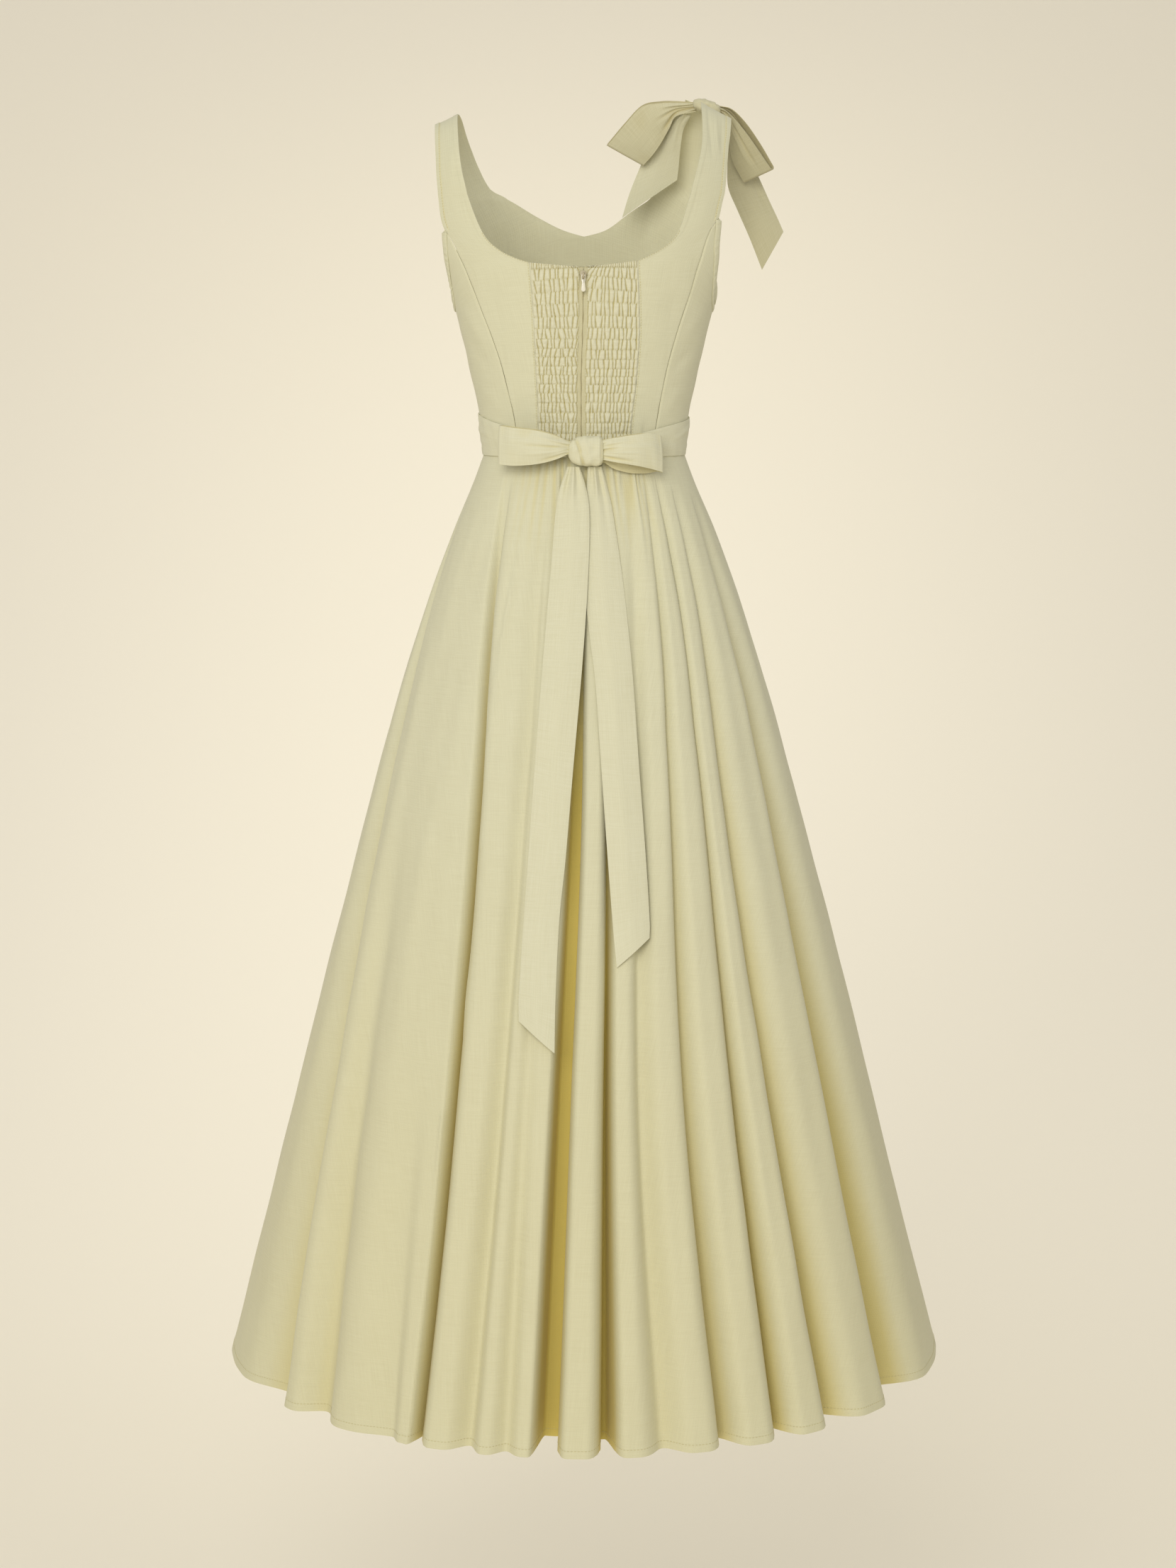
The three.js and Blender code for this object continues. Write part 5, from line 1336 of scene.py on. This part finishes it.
# Creases of the loops, in hundredths along from the knot and across: line, width and height.
WAIST_LEFT_FOLDS = [
    (0, 30, 62, 16, 5, 1.5),
    (0, 50, 70, 44, 4, -2.0),
    (0, 62, 70, 70, 5, 1.4),
    (4, 78, 58, 92, 4, -1.2),
    (30, 38, 96, 30, 9, 0.8),
]
WAIST_RIGHT_FOLDS = [
    (0, 34, 56, 14, 5, 1.5),
    (0, 56, 46, 42, 4, -2.6),
    (6, 66, 70, 58, 3.5, 1.3),
    (0, 80, 62, 88, 5, -1.8),
    (30, 40, 94, 36, 9, 0.8),
]
SHOULDER_IN_FOLDS = [
    (0, 20, 50, 16, 8, 2.4),
    (8, 44, 60, 52, 6, -2.0),
    (10, 62, 58, 86, 6, -2.8),
    (0, 82, 40, 96, 5, 2.0),
]
SHOULDER_OUT_FOLDS = [
    (0, 30, 96, 34, 4, -1.4),
    (0, 48, 92, 52, 6, 1.4),
    (0, 76, 60, 86, 6, -1.2),
]
LOOPS = [
    ("waist_loop_left", WAIST_LOOP_LEFT, RIBBON, WAIST_LEFT_FOLDS, 81),
    ("waist_loop_right", WAIST_LOOP_RIGHT, RIBBON, WAIST_RIGHT_FOLDS, 82),
    ("shoulder_loop_in", SHOULDER_LOOP_IN, SHADED_BOW_LINEN, SHOULDER_IN_FOLDS, 83),
    ("shoulder_loop_out", SHOULDER_LOOP_OUT, DEEPER_SHADED_BOW_LINEN, SHOULDER_OUT_FOLDS, 84),
]
for loop_name, *loop_form in LOOPS:
    loop_piece, loop_points = bow_loop(loop_name, *loop_form)


def tail(name, rows, material, folds, seed, samples=140, columns=26):
    """A tail of ribbon between two edges, either off the skirt's ridges or hanging free. It stands out
    by a half wave along its middle, by pleats that are waves across it and fade away from the knot,
    and by creases and ripples."""
    number = np.arange(len(rows["ax"]))
    at = np.linspace(0, number[-1], samples)
    share = np.linspace(0, 1, columns)[None, :]
    column = {key: curve(number, rows[key])(at)[:, None] for key in rows}
    x = lerp(column["ax"], column["bx"], share)
    z = lerp(column["az"], column["bz"], share)
    if "off" in rows:
        y = skirt_behind(x, z) - column["off"]
    else:
        y = lerp(column["ay"], column["by"], share)
    u = at[:, None] / at[-1] * 100
    fade = 1 - smooth(0, 0.34 * at[-1], at)[:, None]
    raise_by = TAIL_CROWN * np.sin(np.pi * share) ** 0.8
    wander = TAIL_PLEATS * share + 0.1 * np.sin(u / 9)
    raise_by = raise_by + TAIL_PLEAT * fade * np.sin(2 * np.pi * wander)
    raise_by = raise_by + creases(folds, u, share * 100)
    raise_by = raise_by + 0.5 * ripple(x, z, 60, seed, stretch=2)
    points = np.stack([x, y - raise_by, z], -1)
    return shell(name, [points], material, name, flip=True, thickness=1.0), points


# Creases of the tails, in the same hundredths.
TAIL_FOLDS = {
    "waist_tail_left": [(0, 60, 16, 44, 8, 2.2), (2, 30, 20, 22, 7, -1.6), (20, 55, 96, 50, 14, 0.8)],
    "waist_tail_right": [(0, 40, 18, 52, 8, 2.2), (4, 70, 24, 76, 7, -1.6), (22, 45, 96, 50, 14, 0.8)],
    "shoulder_tail_in": [(0, 60, 50, 82, 8, 2.0), (6, 30, 60, 40, 9, -1.6)],
    "shoulder_tail_out": [(0, 50, 46, 44, 9, 1.8), (10, 74, 70, 80, 8, -1.2)],
}
TAILS = [
    ("waist_tail_left", (0.045, 0.65), WAIST_TAIL_LEFT, RIBBON),
    ("waist_tail_right", (0.045, 0.56), WAIST_TAIL_RIGHT, RIBBON),
    ("shoulder_tail_in", (0.075, 0.15), SHOULDER_TAIL_IN, RIBBON),
    ("shoulder_tail_out", (0.055, 0.19), SHOULDER_TAIL_OUT, DEEPER_SHADED_BOW_LINEN),
]
for seed, (tail_name, tail_flat, *tail_form) in enumerate(TAILS, 91):
    tail_piece, tail_points = tail(tail_name, *tail_form, TAIL_FOLDS[tail_name], seed)


KNOT_SECTION = 2.9  # exponent of a knot's section round: 2 is an ellipse, more is squarer
KNOT_ENDS = 2.4  # the higher, the more suddenly a knot falls to nothing at its ends


def knot(name, centre, size, ends, lean, grooves, seed, around=96, across=48):
    """A knot of wrapped ribbon: a lump wound round the X axis, a rounded square in section, whose size
    falls to nothing at both ends as a power of the way across, with creases between its wraps. The
    higher the number of an end, left then right, the squarer it is. A crease's place is in degrees
    round, 90 below, 180 in front and 270 on top, and in hundredths across."""
    angle = np.linspace(-np.pi, np.pi, around)[:, None]
    side = np.linspace(-1, 1, across)[None, :]
    profile = (1 - np.abs(side) ** np.where(side < 0, *ends)) ** (1 / KNOT_ENDS)
    ring = np.abs(np.cos(angle)) ** KNOT_SECTION + np.abs(np.sin(angle)) ** KNOT_SECTION
    ring = ring ** (-1 / KNOT_SECTION)
    u = np.degrees(angle) + 180
    v = 50 + 50 * side
    height = creases(grooves, u + 0 * v, v + 0 * u) + 0.3 * ripple(u / 6 + 0 * v, v / 3 + 0 * u, 7, seed)
    reach = ring * profile
    x = size[0] * side + 0 * angle
    y = -np.cos(angle) * (size[1] * reach + height * profile)
    z = np.sin(angle) * (size[2] * reach + height * profile) + lean * x / size[0]
    points = np.stack([x + centre[0], y + centre[1], z + centre[2]], -1)
    flat = points.reshape(-1, 3)
    faces = grid_faces(*points.shape[:2])
    # Painted shade: the shoulder knot takes the darkened shoulder-tie linen, and its grooves are painted
    # darker through the fold attribute.
    material = RIBBON if name.startswith("waist") else SHADED_BOW_LINEN
    fold = np.clip(-0.09 * height, 0, 0.5)
    piece = mesh_piece(name, flat, faces, material, lengths_uv(points).reshape(-1, 2), fold)
    weld = piece.modifiers.new("closed", "WELD")
    weld.merge_threshold = 0.02 * MM
    return wear(piece, name)


# Creases of the knots: from (degrees round, hundredths across) to the same, width and height.
WAIST_GROOVES = [
    (285, 10, 235, 22, 4, -2.4),
    (245, 20, 175, 36, 4, -2.8),
    (185, 34, 100, 46, 4, -3.0),
    (262, 44, 120, 66, 8, 1.2),
    (285, 94, 75, 94, 3, -1.8),
    (232, 4, 160, 18, 7, 1.2),
]
SHOULDER_GROOVES = [
    (290, 84, 200, 86, 4, -1.6),
    (280, 40, 210, 50, 8, 0.7),
]
knot("waist_knot", (2, -102.5, -383.5), (20, 11, 16.5), (2.4, 14.0), 0, WAIST_GROOVES, 101)
knot("shoulder_knot", (139, 4, -0.2), (16, 10.5, 7.6), (2.4, 4.0), -4.1, SHOULDER_GROOVES, 102)

# ---- Light, floor and camera ----
PARCHMENT = "#f5eedc"
FLOOR_Z = -2000.0
BACKDROP_Y = 3200.0
BACKDROP_BEND = 2000.0
BACKDROP_HALF = 6000.0


def backdrop():
    """A pale floor that bends up into a wall behind the dress by a quarter circle, as one sheet of
    studio paper. It is clear from outside, so that the dress can be seen from its front too."""
    bend = np.radians(np.linspace(0, 90, 24))
    floor_y = np.linspace(-BACKDROP_HALF, BACKDROP_Y - BACKDROP_BEND, 12)
    bend_y = BACKDROP_Y - BACKDROP_BEND + BACKDROP_BEND * np.sin(bend[1:])
    y = np.concatenate([floor_y, bend_y, [BACKDROP_Y]])
    z = np.concatenate([floor_y * 0, BACKDROP_BEND * (1 - np.cos(bend[1:])), [BACKDROP_HALF]]) + FLOOR_Z
    x = np.linspace(-BACKDROP_HALF, BACKDROP_HALF, 12)
    points = np.stack([x[None, :] + 0 * y[:, None], y[:, None] + 0 * x, z[:, None] + 0 * x], -1)
    material, tree, shader = new_material("studio paper")
    shader.inputs["Base Color"].default_value = srgb(PARCHMENT)
    shader.inputs["Roughness"].default_value = 0.95
    shader.inputs["Specular IOR Level"].default_value = 0.0
    behind = node(tree, "ShaderNodeNewGeometry").outputs["Backfacing"]
    clear = node(tree, "ShaderNodeBsdfTransparent").outputs[0]
    one_sided = node(tree, "ShaderNodeMixShader", {0: behind, 1: shader.outputs[0], 2: clear})
    tree.links.new(one_sided.outputs[0], tree.nodes["Material Output"].inputs["Surface"])
    piece = mesh_piece("studio_paper", points.reshape(-1, 3), grid_faces(*points.shape[:2]), material)


def area_light(name, place, aim, size, power, colour):
    """A round area light, tilted and turned so that it shines from its place towards its aim."""
    light = bpy.data.lights.new(name, "AREA")
    light.shape = "DISK"
    light.size = size
    light.energy = power
    light.color = srgb(colour)[:3]
    lamp = bpy.data.objects.new(name, light)
    lamp.location = place
    direction = np.array(aim) - np.array(place)
    lamp.rotation_euler = (
        math.atan2(math.hypot(direction[0], direction[1]), -direction[2]),
        0.0,
        math.atan2(-direction[0], direction[1]),
    )
    bpy.context.scene.collection.objects.link(lamp)
    return lamp


backdrop()
world = bpy.data.worlds.new("studio")
bpy.context.scene.world = world
world.use_nodes = True
world.node_tree.nodes["Background"].inputs["Color"].default_value = srgb("#fcfcff")
world.node_tree.nodes["Background"].inputs["Strength"].default_value = 0.56
area_light("key", (-0.9, -4.3, 1.2), (0, 0, -0.2), 2.8, 108, "#fffdf8")
area_light("backdrop", (0.0, 1.5, -0.1), (0.0, 2.7, -2.4), 1.6, 10, "#fffdf4")

CAMERA_PLACE = (0.0045, -3.4, -0.261)
CAMERA_TILT = 8.59  # degrees down
CAMERA_LENS = 67.48
camera = bpy.data.objects.new("camera", bpy.data.cameras.new("camera"))
camera.location = CAMERA_PLACE
camera.rotation_euler = (math.radians(90 - CAMERA_TILT), 0, 0)
camera.data.sensor_width = 36.0
camera.data.lens = CAMERA_LENS
bpy.context.scene.collection.objects.link(camera)
bpy.context.scene.camera = camera
bpy.context.scene.view_settings.view_transform = "Standard"
